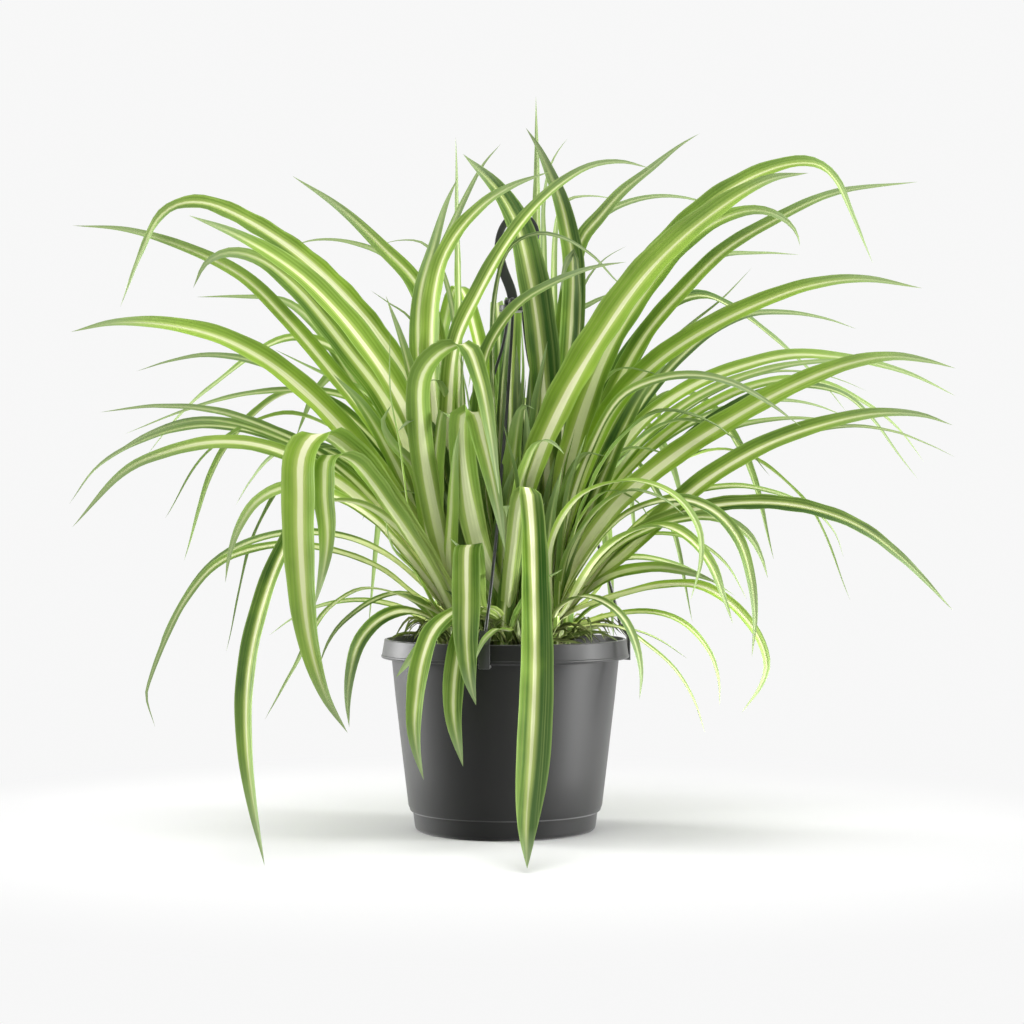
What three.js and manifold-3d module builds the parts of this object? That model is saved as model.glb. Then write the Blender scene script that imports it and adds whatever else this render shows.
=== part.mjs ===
// Potted spider plant with its three-strand hanger, standing on its pot.
// Millimetres, +Z up, front towards -Y. The origin is the middle of the pot's base, on the surface.

import * as THREE from 'three';
import { mergeVertices } from 'three/addons/utils/BufferGeometryUtils.js';
import Module from 'manifold-3d';

const wasm = await Module();
wasm.setup();

// ---------- driving dimensions ----------

const CLEARANCE = 0.3;                 // between pieces that touch

const POT_HEIGHT = 131;
const POT_RIM_RADIUS = 85;             // at the collar's lower edge
const POT_COLLAR_HEIGHT = 13;
const POT_BODY_TOP_RADIUS = 78;        // just under the collar
const POT_BODY_BOTTOM_RADIUS = 66;     // just over the foot
const POT_FOOT_RADIUS = 61.5;
const POT_FOOT_HEIGHT = 13.7;
const POT_WALL = 2;
const POT_FLOOR = 3;
const POT_EDGE = 0.8;                  // small rounding of the collar's moulded edges
const POT_DRAFT = 0.8;                 // the collar is that much narrower at its top
const POT_FOOT_EDGE = [2, 1.5];        // rounding at the foot: inwards, upwards
const POT_STEP = [1, 2];               // rounding where the body stands over the foot
const POT_FLOOR_DRAFT = 0.5;           // the floor is that much narrower inside than the foot's wall
const POT_SIDES = 36;
const DRAIN_HOLE_RADIUS = 4;
const DRAIN_HOLE_CIRCLE = 44;
const DRAIN_HOLE_COUNT = 6;

const SOIL_TOP = 122;                  // at the pot wall
const SOIL_MOUND = 2.5;                // higher in the middle
const SOIL_FLAT_SHARE = 0.6;           // of the radius, where the mound is level
const SOIL_SIDES = 30;

const CROWN_RING_RADIUS = 34;          // six rosettes round the middle of the pot
const CROWN_CORE_RADIUS = 9.5;         // where it stands in the soil
const CROWN_CORE_BOTTOM = 108;
const CROWN_CORE_TOP = 168;
const CROWN_SHOULDER_RADIUS = 12.5;    // over the soil
const CROWN_SHOULDER_HEIGHT = 134;
const CORE_SIDES = 12;
const CROWN_SHOULDER_LENGTH = 14;
const CROWN_TIP_RADIUS = 6.5;
const CROWN_TIP_RISE = 3;              // the rounded end over the core's top edge

const LEAF_THICKNESS = 1.4;            // at the midrib, thinning to the edges
const LEAF_CHANNEL = 0.28;             // how far the edges rise, as a share of the half width
const LEAF_BASE_WIDTH = 5;             // folded leaf bases are narrow
const LEAF_BASE_SHARE = 0.45;          // of the greatest width, on broad leaves
const LEAF_WIDEST_AT = 0.4;            // share of the length, where a leaf has none of its own
const LEAF_TAPER = 2;
const KEELED_WIDTH = 11.45;            // leaves up to this width are plain keeled ribbons
const LEAF_FREE_HEIGHT = 2.2;          // lowest centreline over the surface
const ROOT_HEIGHT = 127;
const ROOT_LENGTH = 10;                // a leaf's straight part in the core
const ROOT_SLANT = 0.7;                // how far out a leaf starts, against where it leaves the core
const ROOT_LIFT = 4;                   // leaves start at heights that differ by up to this
const ROOT_SHIFT = 2;                  // and at places that differ by up to this
const ROOT_SIDESTEP = 3;               // a leaf starts on the side of the core that it leaves to
const BEND_CLEARANCE = 0.5;            // kept between leaves of different rosettes

const HUB = new THREE.Vector3(6, 0, 355);
const HUB_RADIUS = 10.2;
const HUB_THICKNESS = 4;
const HUB_HOLE_CIRCLE = 6.5;
const STRAND_RADIUS = 1.1;
const STRAND_HEAD_RADIUS = 2.4;
const STRAND_HOLE_RADIUS = 1.8;
const HOOK_THICKNESS = 3.4;
const HOOK_THROAT = { low: [1.5, -4, 399], high: [16, 4, 412] };
const STRAP_WIDTH = 7;
const HOOK_WIDTH = 4.6;
const HOOK_TAPER = [0.25, 0.45];       // where the strap narrows to the hook, as shares of the curve
const CLIP_WIDTH = 7.3;
const CLIP_THICKNESS = 1.6;
const CLIP_LIP = 5;                    // reach of the lip under the collar
const CLIP_LIP_THICKNESS = [1.8, 2.3]; // at its tip and at the clip
const CLIP_SHOULDER = 0.9;             // the slope over the rim starts this much higher inside
const CLIP_TOP = [[81.2, 140.5], [79.4, 139.2]];   // outer and inner corner, as radius and height
const STRAND_FOOT = [80.6, 139.2];     // where the strand ends in the clip
const STRAND_GUIDE = 4;                // straight part of the strand under the hub

// Where the front outline was measured from: the eye's place and its distance from the pot's axis.
const EYE = { x: 4.6, z: 217.6, distance: 1638 };

// ---------- materials ----------

const plastic = (color, roughness) =>
  new THREE.MeshStandardMaterial({ color, roughness, metalness: 0 });

const MATERIALS = {
  pot: plastic(0x3a3a38, 0.42),
  hanger: plastic(0x1d1f1e, 0.38),
  soil: plastic(0x2b2119, 0.95),
  leaf: new THREE.MeshStandardMaterial({ color: 0x6d9c38, roughness: 0.45, metalness: 0 }),
};

// ---------- solids ----------

const radians = (degrees) => degrees * Math.PI / 180;

/** A manifold solid from a closed BufferGeometry. */
function solid(geometry) {
  const bare = geometry.index ? geometry.toNonIndexed() : geometry.clone();
  bare.deleteAttribute('normal');
  bare.deleteAttribute('uv');
  const merged = mergeVertices(bare, 1e-4);
  return new wasm.Manifold(new wasm.Mesh({
    numProp: 3,
    vertProperties: merged.attributes.position.array,
    triVerts: new Uint32Array(merged.index.array),
  }));
}

/** Triangles of the widest shell of a mesh: hollows sealed by joining are filled, scraps dropped. */
function widestShell({ vertProperties, triVerts }) {
  const parent = Uint32Array.from({ length: vertProperties.length / 3 }, (_, i) => i);
  const root = (start) => {
    let at = start;
    while (parent[at] !== at) at = parent[at];
    parent[start] = at;
    return at;
  };
  for (let i = 0; i < triVerts.length; i += 3) {
    parent[root(triVerts[i + 1])] = root(triVerts[i]);
    parent[root(triVerts[i + 2])] = root(triVerts[i]);
  }
  const boxes = new Map();
  for (let i = 0; i < parent.length; i += 1) {
    const shell = root(i);
    if (!boxes.has(shell)) boxes.set(shell, new THREE.Box3());
    boxes.get(shell).expandByPoint(new THREE.Vector3().fromArray(vertProperties, 3 * i));
  }
  const size = (box) => box.getSize(new THREE.Vector3()).length();
  const widest = [...boxes.keys()].reduce((best, shell) =>
    (size(boxes.get(shell)) > size(boxes.get(best)) ? shell : best));
  return triVerts.filter((_, i) => root(triVerts[i - (i % 3)]) === widest);
}

/** A named mesh from a manifold solid. */
function meshOf(name, manifold, material) {
  const mesh3 = manifold.getMesh();
  const geometry = new THREE.BufferGeometry();
  geometry.setAttribute('position', new THREE.BufferAttribute(mesh3.vertProperties, 3));
  geometry.setIndex(new THREE.BufferAttribute(widestShell(mesh3), 1));
  geometry.computeVertexNormals();
  const mesh = new THREE.Mesh(geometry, material);
  mesh.name = name;
  return mesh;
}

/** A solid of revolution about Z from [radius, height] pairs that start and end on the axis. */
function lathe(profile, sides) {
  const points = profile.map(([radius, height]) => new THREE.Vector2(radius, height));
  return new THREE.LatheGeometry(points, sides).rotateX(Math.PI / 2);
}

/** A plug with vertical sides, for round holes. */
function plug(x, y, bottom, top, radius, sides) {
  const geometry = new THREE.CylinderGeometry(radius, radius, top - bottom, sides);
  geometry.rotateX(Math.PI / 2).translate(x, y, (top + bottom) / 2);
  return solid(geometry);
}

// ---------- pot and soil ----------

/** Inner radius of the pot wall at a height. */
function innerRadius(height) {
  const along = (height - POT_FOOT_HEIGHT) / (POT_HEIGHT - POT_COLLAR_HEIGHT - POT_FOOT_HEIGHT);
  return THREE.MathUtils.lerp(POT_BODY_BOTTOM_RADIUS, POT_BODY_TOP_RADIUS, along) - POT_WALL;
}

function makePot() {
  const shelf = POT_HEIGHT - POT_COLLAR_HEIGHT;
  const footInside = POT_FOOT_RADIUS - POT_WALL;
  const rimInside = POT_RIM_RADIUS - POT_DRAFT - POT_WALL;
  const [footIn, footUp] = POT_FOOT_EDGE;
  const [stepIn, stepUp] = POT_STEP;
  const profile = [
    [0, 0],
    [POT_FOOT_RADIUS - footIn, 0],
    [POT_FOOT_RADIUS - POT_FLOOR_DRAFT, footUp],
    [POT_FOOT_RADIUS, POT_FOOT_HEIGHT - stepUp],
    [POT_BODY_BOTTOM_RADIUS - stepIn, POT_FOOT_HEIGHT],
    [POT_BODY_BOTTOM_RADIUS, POT_FOOT_HEIGHT + stepUp],
    [POT_BODY_TOP_RADIUS, shelf],
    [POT_RIM_RADIUS - POT_EDGE, shelf],
    [POT_RIM_RADIUS, shelf + POT_EDGE],
    [POT_RIM_RADIUS - POT_DRAFT, POT_HEIGHT - POT_EDGE],
    [POT_RIM_RADIUS - POT_DRAFT - POT_EDGE, POT_HEIGHT],
    [rimInside, POT_HEIGHT],
    [rimInside, shelf + POT_WALL],
    [innerRadius(shelf), shelf + POT_WALL],
    [innerRadius(POT_FOOT_HEIGHT + stepUp), POT_FOOT_HEIGHT + stepUp],
    [footInside, POT_FOOT_HEIGHT - stepIn],
    [footInside - POT_FLOOR_DRAFT, POT_FLOOR],
    [0, POT_FLOOR],
  ];
  let pot = solid(lathe(profile, POT_SIDES));
  for (let i = 0; i < DRAIN_HOLE_COUNT; i += 1) {
    const angle = radians(360 * i / DRAIN_HOLE_COUNT);
    const x = DRAIN_HOLE_CIRCLE * Math.cos(angle);
    const y = DRAIN_HOLE_CIRCLE * Math.sin(angle);
    pot = pot.subtract(plug(x, y, -1, POT_FLOOR + 1, DRAIN_HOLE_RADIUS, 12));
  }
  return pot;
}

function makeSoil(crowns) {
  const shelf = POT_HEIGHT - POT_COLLAR_HEIGHT + POT_WALL + CLEARANCE;
  const gap = 2 * CLEARANCE;           // the flat sides of the round pot come nearer than its corners
  const wide = POT_RIM_RADIUS - POT_DRAFT - POT_WALL - gap;
  const footInside = POT_FOOT_RADIUS - POT_WALL - gap;
  const [stepIn, stepUp] = POT_STEP;
  const profile = [
    [0, POT_FLOOR + CLEARANCE],
    [footInside - POT_FLOOR_DRAFT, POT_FLOOR + CLEARANCE],
    [footInside, POT_FOOT_HEIGHT - stepIn],
    [innerRadius(POT_FOOT_HEIGHT + stepUp) - gap, POT_FOOT_HEIGHT + stepUp + CLEARANCE],
    [innerRadius(shelf) - gap, shelf],
    [wide, shelf],
    [wide, SOIL_TOP],
    [wide * SOIL_FLAT_SHARE, SOIL_TOP + SOIL_MOUND],
    [0, SOIL_TOP + SOIL_MOUND],
  ];
  let soil = solid(lathe(profile, SOIL_SIDES));
  for (const crown of Object.values(crowns)) {
    const hole = plug(crown.x, crown.y, CROWN_CORE_BOTTOM - CLEARANCE, POT_HEIGHT,
      CROWN_CORE_RADIUS + 2 * CLEARANCE, CORE_SIDES);
    soil = soil.subtract(hole);
  }
  return soil;
}

// ---------- hanger ----------

// Where each strand is clipped over the collar, as a direction from the axis, and the points that
// it passes on its way down from the hub, as [across, depth towards the front, up].
const STRANDS = {
  front: {
    clip: -99,
    route: [[3.2, 15, 320], [1, 28, 285], [-2, 41, 250], [-5, 55, 210], [-9.5, 71, 165]],
  },
  right: {
    clip: 9,
    route: [[17.5, -2, 316], [30, -4, 285], [50, -7, 235], [64, -9, 195], [74.5, -11, 160]],
  },
  back_left: {
    clip: 135,
    route: [[-1, -6, 335], [-12, -16, 300], [-27, -29, 250], [-42, -43, 200], [-52, -53, 162]],
  },
};

/** Direction of a strand's hole in the hub. */
function strandHole(strand) {
  const angle = radians(strand.clip);
  return new THREE.Vector3(HUB.x + HUB_HOLE_CIRCLE * Math.cos(angle),
    HUB.y + HUB_HOLE_CIRCLE * Math.sin(angle), HUB.z);
}

/** A flat outline that follows a centreline with a half width that changes along it. */
function ribbonOutline(curve, halfWidth, steps) {
  const left = [];
  const right = [];
  for (let i = 0; i <= steps; i += 1) {
    const t = i / steps;
    const point = curve.getPoint(t);
    const tangent = curve.getTangent(t);
    const half = halfWidth(t);
    left.push(new THREE.Vector2(point.x - tangent.y * half, point.y + tangent.x * half));
    right.push(new THREE.Vector2(point.x + tangent.y * half, point.y - tangent.x * half));
  }
  return new THREE.Shape([...left, ...right.reverse()]);
}

/** The hook and its strap in one moulding, with the hub disc at its foot. */
function makeHook() {
  const middle = new THREE.SplineCurve([
    [HUB.x, HUB.z + 1], [HUB.x - 2, 369], [-2, 385], [-4.6, 397], [-3.4, 409], [2.5, 418.5], [10.5, 421],
    [18, 416.5], [21.2, 408.5], [19, 400],
  ].map(([across, up]) => new THREE.Vector2(across, up)));
  const halfWidth = (t) => {
    const taper = THREE.MathUtils.smoothstep(t, ...HOOK_TAPER);
    return THREE.MathUtils.lerp(STRAP_WIDTH, HOOK_WIDTH, taper) / 2;
  };
  const outline = ribbonOutline(middle, halfWidth, 30);
  const strap = new THREE.ExtrudeGeometry(outline, { depth: HOOK_THICKNESS, bevelEnabled: false });
  strap.rotateX(Math.PI / 2).translate(0, HOOK_THICKNESS / 2, 0);
  let hook = solid(strap);
  hook = hook.add(plug(HUB.x, HUB.y, HUB.z, HUB.z + HUB_THICKNESS, HUB_RADIUS, 24));
  for (const strand of Object.values(STRANDS)) {
    const hole = strandHole(strand);
    hook = hook.subtract(plug(hole.x, hole.y, HUB.z - 1, HUB.z + HUB_THICKNESS + 1, STRAND_HOLE_RADIUS, 10));
  }
  return hook;
}

/** One strand: its head over the hub, the round strand, and the clip that grips the pot's collar. */
function makeStrand(strand) {
  const shelf = POT_HEIGHT - POT_COLLAR_HEIGHT;
  const inside = POT_RIM_RADIUS + CLEARANCE;
  const outside = inside + CLIP_THICKNESS;
  const lipTop = shelf - CLEARANCE;
  const [atTip, atClip] = CLIP_LIP_THICKNESS;
  const profile = new THREE.Shape([
    [inside - CLIP_LIP, lipTop - atTip],
    [outside, lipTop - atClip],
    [outside, POT_HEIGHT],
    ...CLIP_TOP,
    [inside, POT_HEIGHT + CLIP_SHOULDER],
    [inside, lipTop],
    [inside - CLIP_LIP, lipTop],
  ].map(([radius, height]) => new THREE.Vector2(radius, height)));
  const clip = new THREE.ExtrudeGeometry(profile, { depth: CLIP_WIDTH, bevelEnabled: false });
  clip.rotateX(Math.PI / 2).translate(0, CLIP_WIDTH / 2, 0).rotateZ(radians(strand.clip));

  const hole = strandHole(strand);
  const angle = radians(strand.clip);
  const [out, up] = STRAND_FOOT;
  const foot = new THREE.Vector3(out * Math.cos(angle), out * Math.sin(angle), up);
  const path = new THREE.CatmullRomCurve3([
    new THREE.Vector3(hole.x, hole.y, HUB.z + HUB_THICKNESS + STRAND_HEAD_RADIUS + CLEARANCE),
    new THREE.Vector3(hole.x, hole.y, HUB.z),
    new THREE.Vector3(hole.x, hole.y, HUB.z - STRAND_GUIDE),
    ...strand.route.map(([across, depth, height]) => new THREE.Vector3(across, -depth, height)),
    foot,
  ], false, 'centripetal');
  const section = new THREE.Shape();
  section.absarc(0, 0, STRAND_RADIUS, 0, 2 * Math.PI);
  const strandGeometry = new THREE.ExtrudeGeometry(section,
    { extrudePath: path, steps: 16, curveSegments: 3, bevelEnabled: false });

  const head = new THREE.SphereGeometry(STRAND_HEAD_RADIUS, 6, 4);
  head.translate(hole.x, hole.y, HUB.z + HUB_THICKNESS + CLEARANCE + STRAND_HEAD_RADIUS);
  return solid(strandGeometry).add(solid(clip)).add(solid(head));
}

// ---------- leaves ----------

/** The rosettes, at equal turns round the middle of the pot. */
function crownAt(direction) {
  const angle = radians(direction);
  return { direction, x: CROWN_RING_RADIUS * Math.cos(angle), y: CROWN_RING_RADIUS * Math.sin(angle) };
}

const CROWNS = {
  left_front: crownAt(-150),
  front: crownAt(-90),
  right_front: crownAt(-30),
  left_back: crownAt(150),
  right_back: crownAt(30),
  back: crownAt(90),
};

// Leaves placed one by one: rosette, how far the tip reaches towards the front, width, how far the
// blade turns its upper side to the front (degrees), how early it reaches out (1 is steadily), the
// points that its middle passes from base to tip, as across, up, across, up... seen from EYE, and
// for some where along its length it is widest.
const PLACED_LEAVES = [
  ['left_front', 70, 22, 60, 1, [-46, 215, -68, 285, -100, 336, -140, 379, -180, 405, -217, 421], 0.5],
  ['left_front', 25, 20.5, 62, 1, [-48, 200, -78, 285, -110, 330, -145, 372, -170, 391, -190, 395,
    -205, 388, -214, 371]],
  ['left_front', 60, 19, 60, 1, [-52, 190, -80, 232, -110, 272, -135, 298, -165, 322, -200, 339, -240,
    347, -270, 347, -298, 341]],
  ['left_front', 45, 8.4, 55, 1, [-60, 185, -100, 235, -130, 259, -165, 276, -200, 287, -240, 290,
    -278, 286]],
  ['left_front', 30, 8.4, 55, 1, [-60, 195, -110, 245, -150, 266, -190, 279, -215, 280, -245, 271,
    -275, 253]],
  ['left_front', 80, 11.5, 60, 1, [-62, 180, -100, 225, -140, 252, -170, 263, -200, 265, -230, 259,
    -260, 246, -297, 207]],
  ['left_front', 105, 10.8, 50, 1, [-62, 180, -97, 217, -130, 232, -152, 234, -170, 225, -182, 208,
    -189, 188, -192, 169]],
  ['left_front', 115, 6.6, 45, 1, [-62, 160, -85, 178, -115, 190, -150, 195, -180, 190, -200, 180,
    -220, 156, -233, 130, -243, 104, -246, 92, -240, 70]],
  ['left_front', 95, 6.6, 45, 1, [-62, 172, -85, 190, -113, 201, -150, 203, -180, 195, -202, 181, -220,
    158, -235, 130, -239, 113]],
  ['left_front', 190, 15.5, 0, 1, [-60, 190, -98, 222, -130, 222, -150, 195, -166, 155, -176, 110,
    -178, 70, -174, 25, -165, -25], 0.6],
  ['left_front', 185, 24.5, 0, 1.3, [-42, 165, -60, 195, -85, 232, -108, 260, -127, 271, -138, 258,
    -140, 225, -139, 180, -134, 130, -123, 92, -108, 66], 0.5],
  ['left_front', 150, 17, 0, 1, [-50, 175, -80, 222, -105, 253, -120, 256, -123, 235, -121, 200, -124,
    178, -131, 152], 0.55],
  ['left_front', 130, 5.4, 10, 1, [-60, 155, -95, 165, -122, 150, -145, 110, -165, 75]],
  ['left_front', 80, 4.8, 35, 1, [-57, 158, -75, 161.5, -92, 156, -113, 140, -122, 127, -128, 111]],
  ['left_front', 100, 10.8, 35, 2, [-45, 140, -58, 147, -72, 149, -88, 142, -100, 128, -106, 108, -108,
    88, -107, 70]],
  ['left_front', 75, 9.6, 35, 1, [-48, 152, -62, 176, -77, 192, -81, 205, -82, 213]],
  ['left_front', 34, 18, 65, 1, [-38, 200, -48, 290, -50, 345, -45, 383, -35, 405, -15, 428, 5, 441,
    20, 447, 31, 451], 0.5],
  ['left_front', 62, 16.7, 60, 1, [-36, 200, -38, 290, -33, 335, -18, 368, 0, 400, 20, 426, 40, 444,
    60, 455, 80, 457.5, 100, 453]],
  ['left_front', 110, 17, 0, 1, [-45, 200, -58, 275, -57, 312, -42, 329, -28, 332, -18, 310, -10, 270,
    -4, 228]],
  ['left_front', 70, 17, 50, 1, [-46, 170, -50, 220, -47, 265, -42, 287, -36, 280, -33, 262]],
  ['left_front', 50, 10.8, 60, 1, [-50, 200, -56, 250, -55, 280, -60, 288, -65, 275, -64, 257]],
  ['left_front', 60, 11.5, -40, 1, [-52, 200, -62, 247, -78, 265, -84, 280, -78, 291]],
  ['left_front', 78, 5.4, 45, 1, [-62, 200, -73, 265, -79, 300, -79, 342]],
  ['left_front', 80, 11.5, 35, 1, [-38, 170, -37, 220, -34, 262, -31, 276]],
  ['left_front', 6, 16.7, 55, 1, [-46, 180, -70, 240, -98, 290, -118, 312]],
  ['left_back', -45, 19, 55, 1, [-45, 220, -62, 290, -95, 346, -140, 392, -185, 421, -207, 429, -224,
    428, -237, 419, -248, 398, -264, 358]],
  ['left_back', -60, 13.2, 60, 1, [-50, 200, -85, 270, -120, 315, -150, 350, -180, 379, -220, 399,
    -260, 411, -297, 414]],
  ['left_back', -100, 9.6, 50, 1, [-60, 230, -100, 300, -130, 345, -152, 362, -180, 365, -212, 365]],
  ['left_back', -50, 8.4, 55, 1, [-60, 215, -105, 275, -150, 312, -178, 322, -205, 325, -230, 321,
    -253, 314]],
  ['left_back', -120, 9.6, 45, 1, [-45, 215, -80, 290, -110, 325, -143, 337, -165, 330, -190, 312,
    -217, 290, -235, 270, -246, 256]],
  ['left_back', -80, 6.6, 55, 1, [-55, 230, -80, 282, -110, 297, -140, 301, -180, 298, -220, 287, -261,
    271]],
  ['left_back', -30, 8.4, 55, 1, [-65, 185, -105, 235, -145, 263, -185, 275, -215, 276, -250, 266,
    -280, 248, -299, 223]],
  ['left_back', -90, 10.8, 45, 1, [-60, 200, -105, 250, -140, 264, -160, 255, -175, 238, -185, 222]],
  ['left_back', -60, 4.8, 45, 1, [-50, 142, -75, 153, -100, 157, -127, 153, -145, 145, -162, 133]],
  ['left_back', -50, 15.5, 60, 1, [-34, 200, -42, 300, -58, 368, -85, 399, -115, 427, -146, 448]],
  ['left_back', -95, 7.2, 50, 1, [-36, 250, -55, 350, -78, 390, -105, 402, -130, 404, -155, 397]],
  ['left_back', -80, 5.4, 50, 1, [-30, 300, -42, 380, -55, 401, -70, 404, -90, 400]],
  ['left_back', -50, 4.2, 55, 1, [-45, 300, -65, 350, -80, 361, -93, 370]],
  ['left_back', -25, 14.4, 62, 1, [-45, 230, -60, 330, -58, 370, -50, 398, -41, 428, -32, 448]],
  ['left_back', -45, 10.8, 60, 1, [-31, 250, -31, 360, -32.5, 420, -33, 450, -34, 475]],
  ['left_back', -34, 9, 62, 1, [-48, 250, -55, 345, -48, 385, -38, 410, -28, 432, -15, 456, -3, 470]],
  ['left_back', -70, 10.8, -30, 1, [-60, 245, -95, 298, -125, 312, -158, 329]],
  ['left_back', 2, 16, 55, 1, [-42, 200, -56, 270, -70, 330, -82, 366]],
  ['right_front', 60, 22, 62, 1, [38, 220, 70, 325, 95, 366, 120, 397, 145, 416, 170, 424, 188, 420,
    199, 410, 202, 400]],
  ['right_front', 50, 18, 60, 1, [38, 190, 52, 240, 75, 290, 105, 321, 140, 344, 175, 361, 210, 373,
    245, 377, 286, 371]],
  ['right_front', 85, 9.6, 55, 1, [40, 200, 60, 262, 80, 296, 105, 308, 130, 311, 155, 306, 178, 294,
    203, 276]],
  ['right_front', 40, 16.7, 62, 1, [42, 170, 75, 220, 115, 255, 155, 281, 195, 303, 235, 319, 265, 324,
    290, 321, 309, 316]],
  ['right_front', 25, 4.8, 45, 1, [55, 170, 120, 225, 180, 262, 230, 276, 265, 273, 290, 264, 309,
    255]],
  ['right_front', 80, 15.5, 60, 1, [45, 160, 80, 187, 110, 216, 140, 241, 180, 264, 220, 278, 255, 285,
    285, 284, 307, 277]],
  ['right_front', 95, 13.2, 55, 1, [48, 155, 80, 195, 115, 214, 150, 222, 185, 223, 215, 218, 245, 206,
    275, 183, 307, 150]],
  ['right_front', 80, 11.5, 40, 1, [45, 155, 75, 192, 105, 208, 135, 214, 155, 210, 168, 200, 176, 185,
    180, 172]],
  ['right_front', 115, 10.8, 40, 1, [50, 175, 80, 213, 105, 224, 125, 225, 145, 216, 160, 198, 168,
    172, 171, 145, 169, 118]],
  ['right_front', 145, 8.4, 15, 1, [32, 195, 50, 227, 75, 238, 98, 237, 118, 227, 132, 207, 134, 185,
    127, 157]],
  ['right_front', 125, 14.4, 15, 1, [42, 150, 65, 187, 90, 205, 110, 207, 127, 198, 141, 180, 149, 160,
    156, 141]],
  ['right_front', 45, 4.8, 35, 1, [60, 160, 90, 199, 115, 202, 135, 195, 152, 181, 166, 157]],
  ['right_front', 60, 10.8, 50, 1, [42, 150, 70, 172, 100, 179, 125, 176, 148, 168]],
  ['right_front', 110, 9.6, 35, 1, [45, 148, 75, 159, 110, 167, 135, 166, 155, 154, 172, 134, 179, 113,
    175, 99, 162, 80]],
  ['right_front', 105, 8.4, 10, 2, [36, 150, 50, 159, 66, 156, 80, 145, 89, 127, 93, 107, 92, 89]],
  ['right_front', 50, 6.6, 35, 1, [50, 140, 75, 147, 105, 148, 125, 139, 140, 121, 146, 103, 147, 85]],
  ['right_front', 60, 4.8, 15, 1.5, [48, 138, 65, 140, 82, 137, 95, 128, 115, 111, 129, 89, 137, 66]],
  ['right_front', 22, 24, 80, 1, [30, 190, 28, 265, 26, 310, 22, 350, 16, 385, 8, 415, -5, 438, -29,
    463], 0.62],
  ['right_front', 30, 16.7, 55, 1, [42, 230, 50, 320, 51, 375, 47, 396, 41, 386, 38, 368]],
  ['right_back', -35, 19, 55, 1, [45, 220, 60, 300, 82, 362, 110, 400, 145, 433, 180, 452, 203, 457,
    216, 455, 227, 444, 238, 420, 252, 388]],
  ['right_back', -60, 13.2, 60, 1, [45, 220, 70, 290, 95, 338, 125, 373, 150, 397, 185, 418, 225, 436,
    283, 444]],
  ['right_back', -90, 9.6, 50, 1, [50, 230, 90, 325, 120, 370, 145, 392, 175, 395, 202, 394]],
  ['right_back', -100, 4.2, 45, 1, [60, 250, 110, 330, 150, 365, 169, 385]],
  ['right_back', -50, 8.4, 55, 1, [55, 220, 100, 300, 140, 340, 168, 353, 195, 354, 220, 350, 241,
    343]],
  ['right_back', -120, 10.8, 45, 1, [45, 230, 80, 320, 115, 360, 135, 366, 155, 358, 180, 340, 205,
    318, 222, 301, 234, 286]],
  ['right_back', -45, 11.5, 60, 1, [50, 210, 90, 275, 125, 302, 155, 315, 195, 325, 225, 324, 250, 320,
    280, 311, 309, 297]],
  ['right_back', -30, 8.4, 55, 1, [50, 200, 90, 262, 125, 292, 160, 309, 200, 319, 240, 321, 262, 318]],
  ['right_back', -65, 8.4, 50, 1, [50, 200, 100, 262, 150, 296, 190, 308, 220, 305, 250, 290, 270, 274,
    287, 252]],
  ['right_back', -95, 4.8, 45, 1, [55, 220, 120, 285, 175, 312, 210, 313, 230, 308, 249, 300]],
  ['right_back', -40, 8.4, 50, 1, [50, 190, 110, 255, 160, 292, 200, 304, 230, 299, 250, 283, 268, 259,
    283, 240]],
  ['right_back', -110, 6.6, 45, 1, [50, 210, 110, 268, 160, 291, 192, 294, 215, 290, 240, 280]],
  ['right_back', -75, 6.6, 50, 1, [50, 190, 90, 235, 125, 260, 155, 275, 185, 281, 215, 281, 240, 276]],
  ['right_back', -60, 6.6, 45, 1, [55, 165, 95, 212, 130, 231, 160, 235, 190, 229, 212, 218, 226, 203,
    232, 186]],
  ['right_back', -30, 6.6, 40, 1, [48, 160, 75, 183, 95, 186, 120, 180, 140, 171, 158, 160]],
  ['right_back', -25, 4.2, 15, 1, [50, 139, 70, 139, 90, 136, 107, 129, 125, 117]],
  ['right_back', -30, 10.8, 60, 1, [24, 300, 22, 400, 22, 460, 21.5, 480, 21, 503]],
  ['right_back', -24, 17, 65, 1, [38, 250, 47, 385, 43, 412, 38, 432, 30, 452, 22, 469, 14, 481], 0.55],
  ['right_back', -50, 7.2, 60, 1, [28, 300, 26, 400, 26, 430, 30, 453, 36, 465, 43, 474]],
  ['right_back', -40, 14.4, 62, 1, [36, 280, 45, 375, 53, 405, 65, 420, 80, 437, 100, 453, 120, 469,
    133, 477]],
  ['right_back', -90, 8.4, 50, 1, [40, 330, 52, 400, 66, 420, 85, 430, 110, 434, 135, 430, 155, 420]],
  ['right_back', -110, 6, 50, 1, [33, 330, 36, 420, 42, 431, 54, 434, 70, 433, 85, 428]],
  ['right_back', -60, 9.6, 45, 1, [36, 300, 44, 350, 58, 360, 75, 367, 90, 368]],
  ['right_back', -70, 4.2, 45, 1, [45, 340, 55, 375, 68, 391, 83, 400]],
  ['front', 72, 25.5, 60, 1, [10, 190, 18, 240, 38, 290, 68, 342, 100, 385, 140, 421, 180, 445, 208,
    450], 0.5],
  ['front', 50, 5.4, 55, 1, [-8, 300, -6, 370, 3, 398, 20, 408, 38, 406, 60, 393, 75, 377, 92, 362]],
  ['front', 55, 14.4, 55, 1, [-14, 230, -17, 290, -13, 325, -3, 345, 12, 362, 30, 373, 60, 385, 83,
    389]],
  ['front', 201, 21.5, 0, 1, [2, 150, 7, 200, 11.5, 228, 15.5, 234, 18.5, 215, 20.5, 170, 21.5, 110,
    19, 50, 15, 0, 15, -27], 0.76],
  ['front', 125, 19, 0, 1.4, [-17, 150, -22, 183, -25, 196, -26, 188, -26, 160, -26, 125, -24, 103,
    -20, 85], 0.6],
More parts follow.
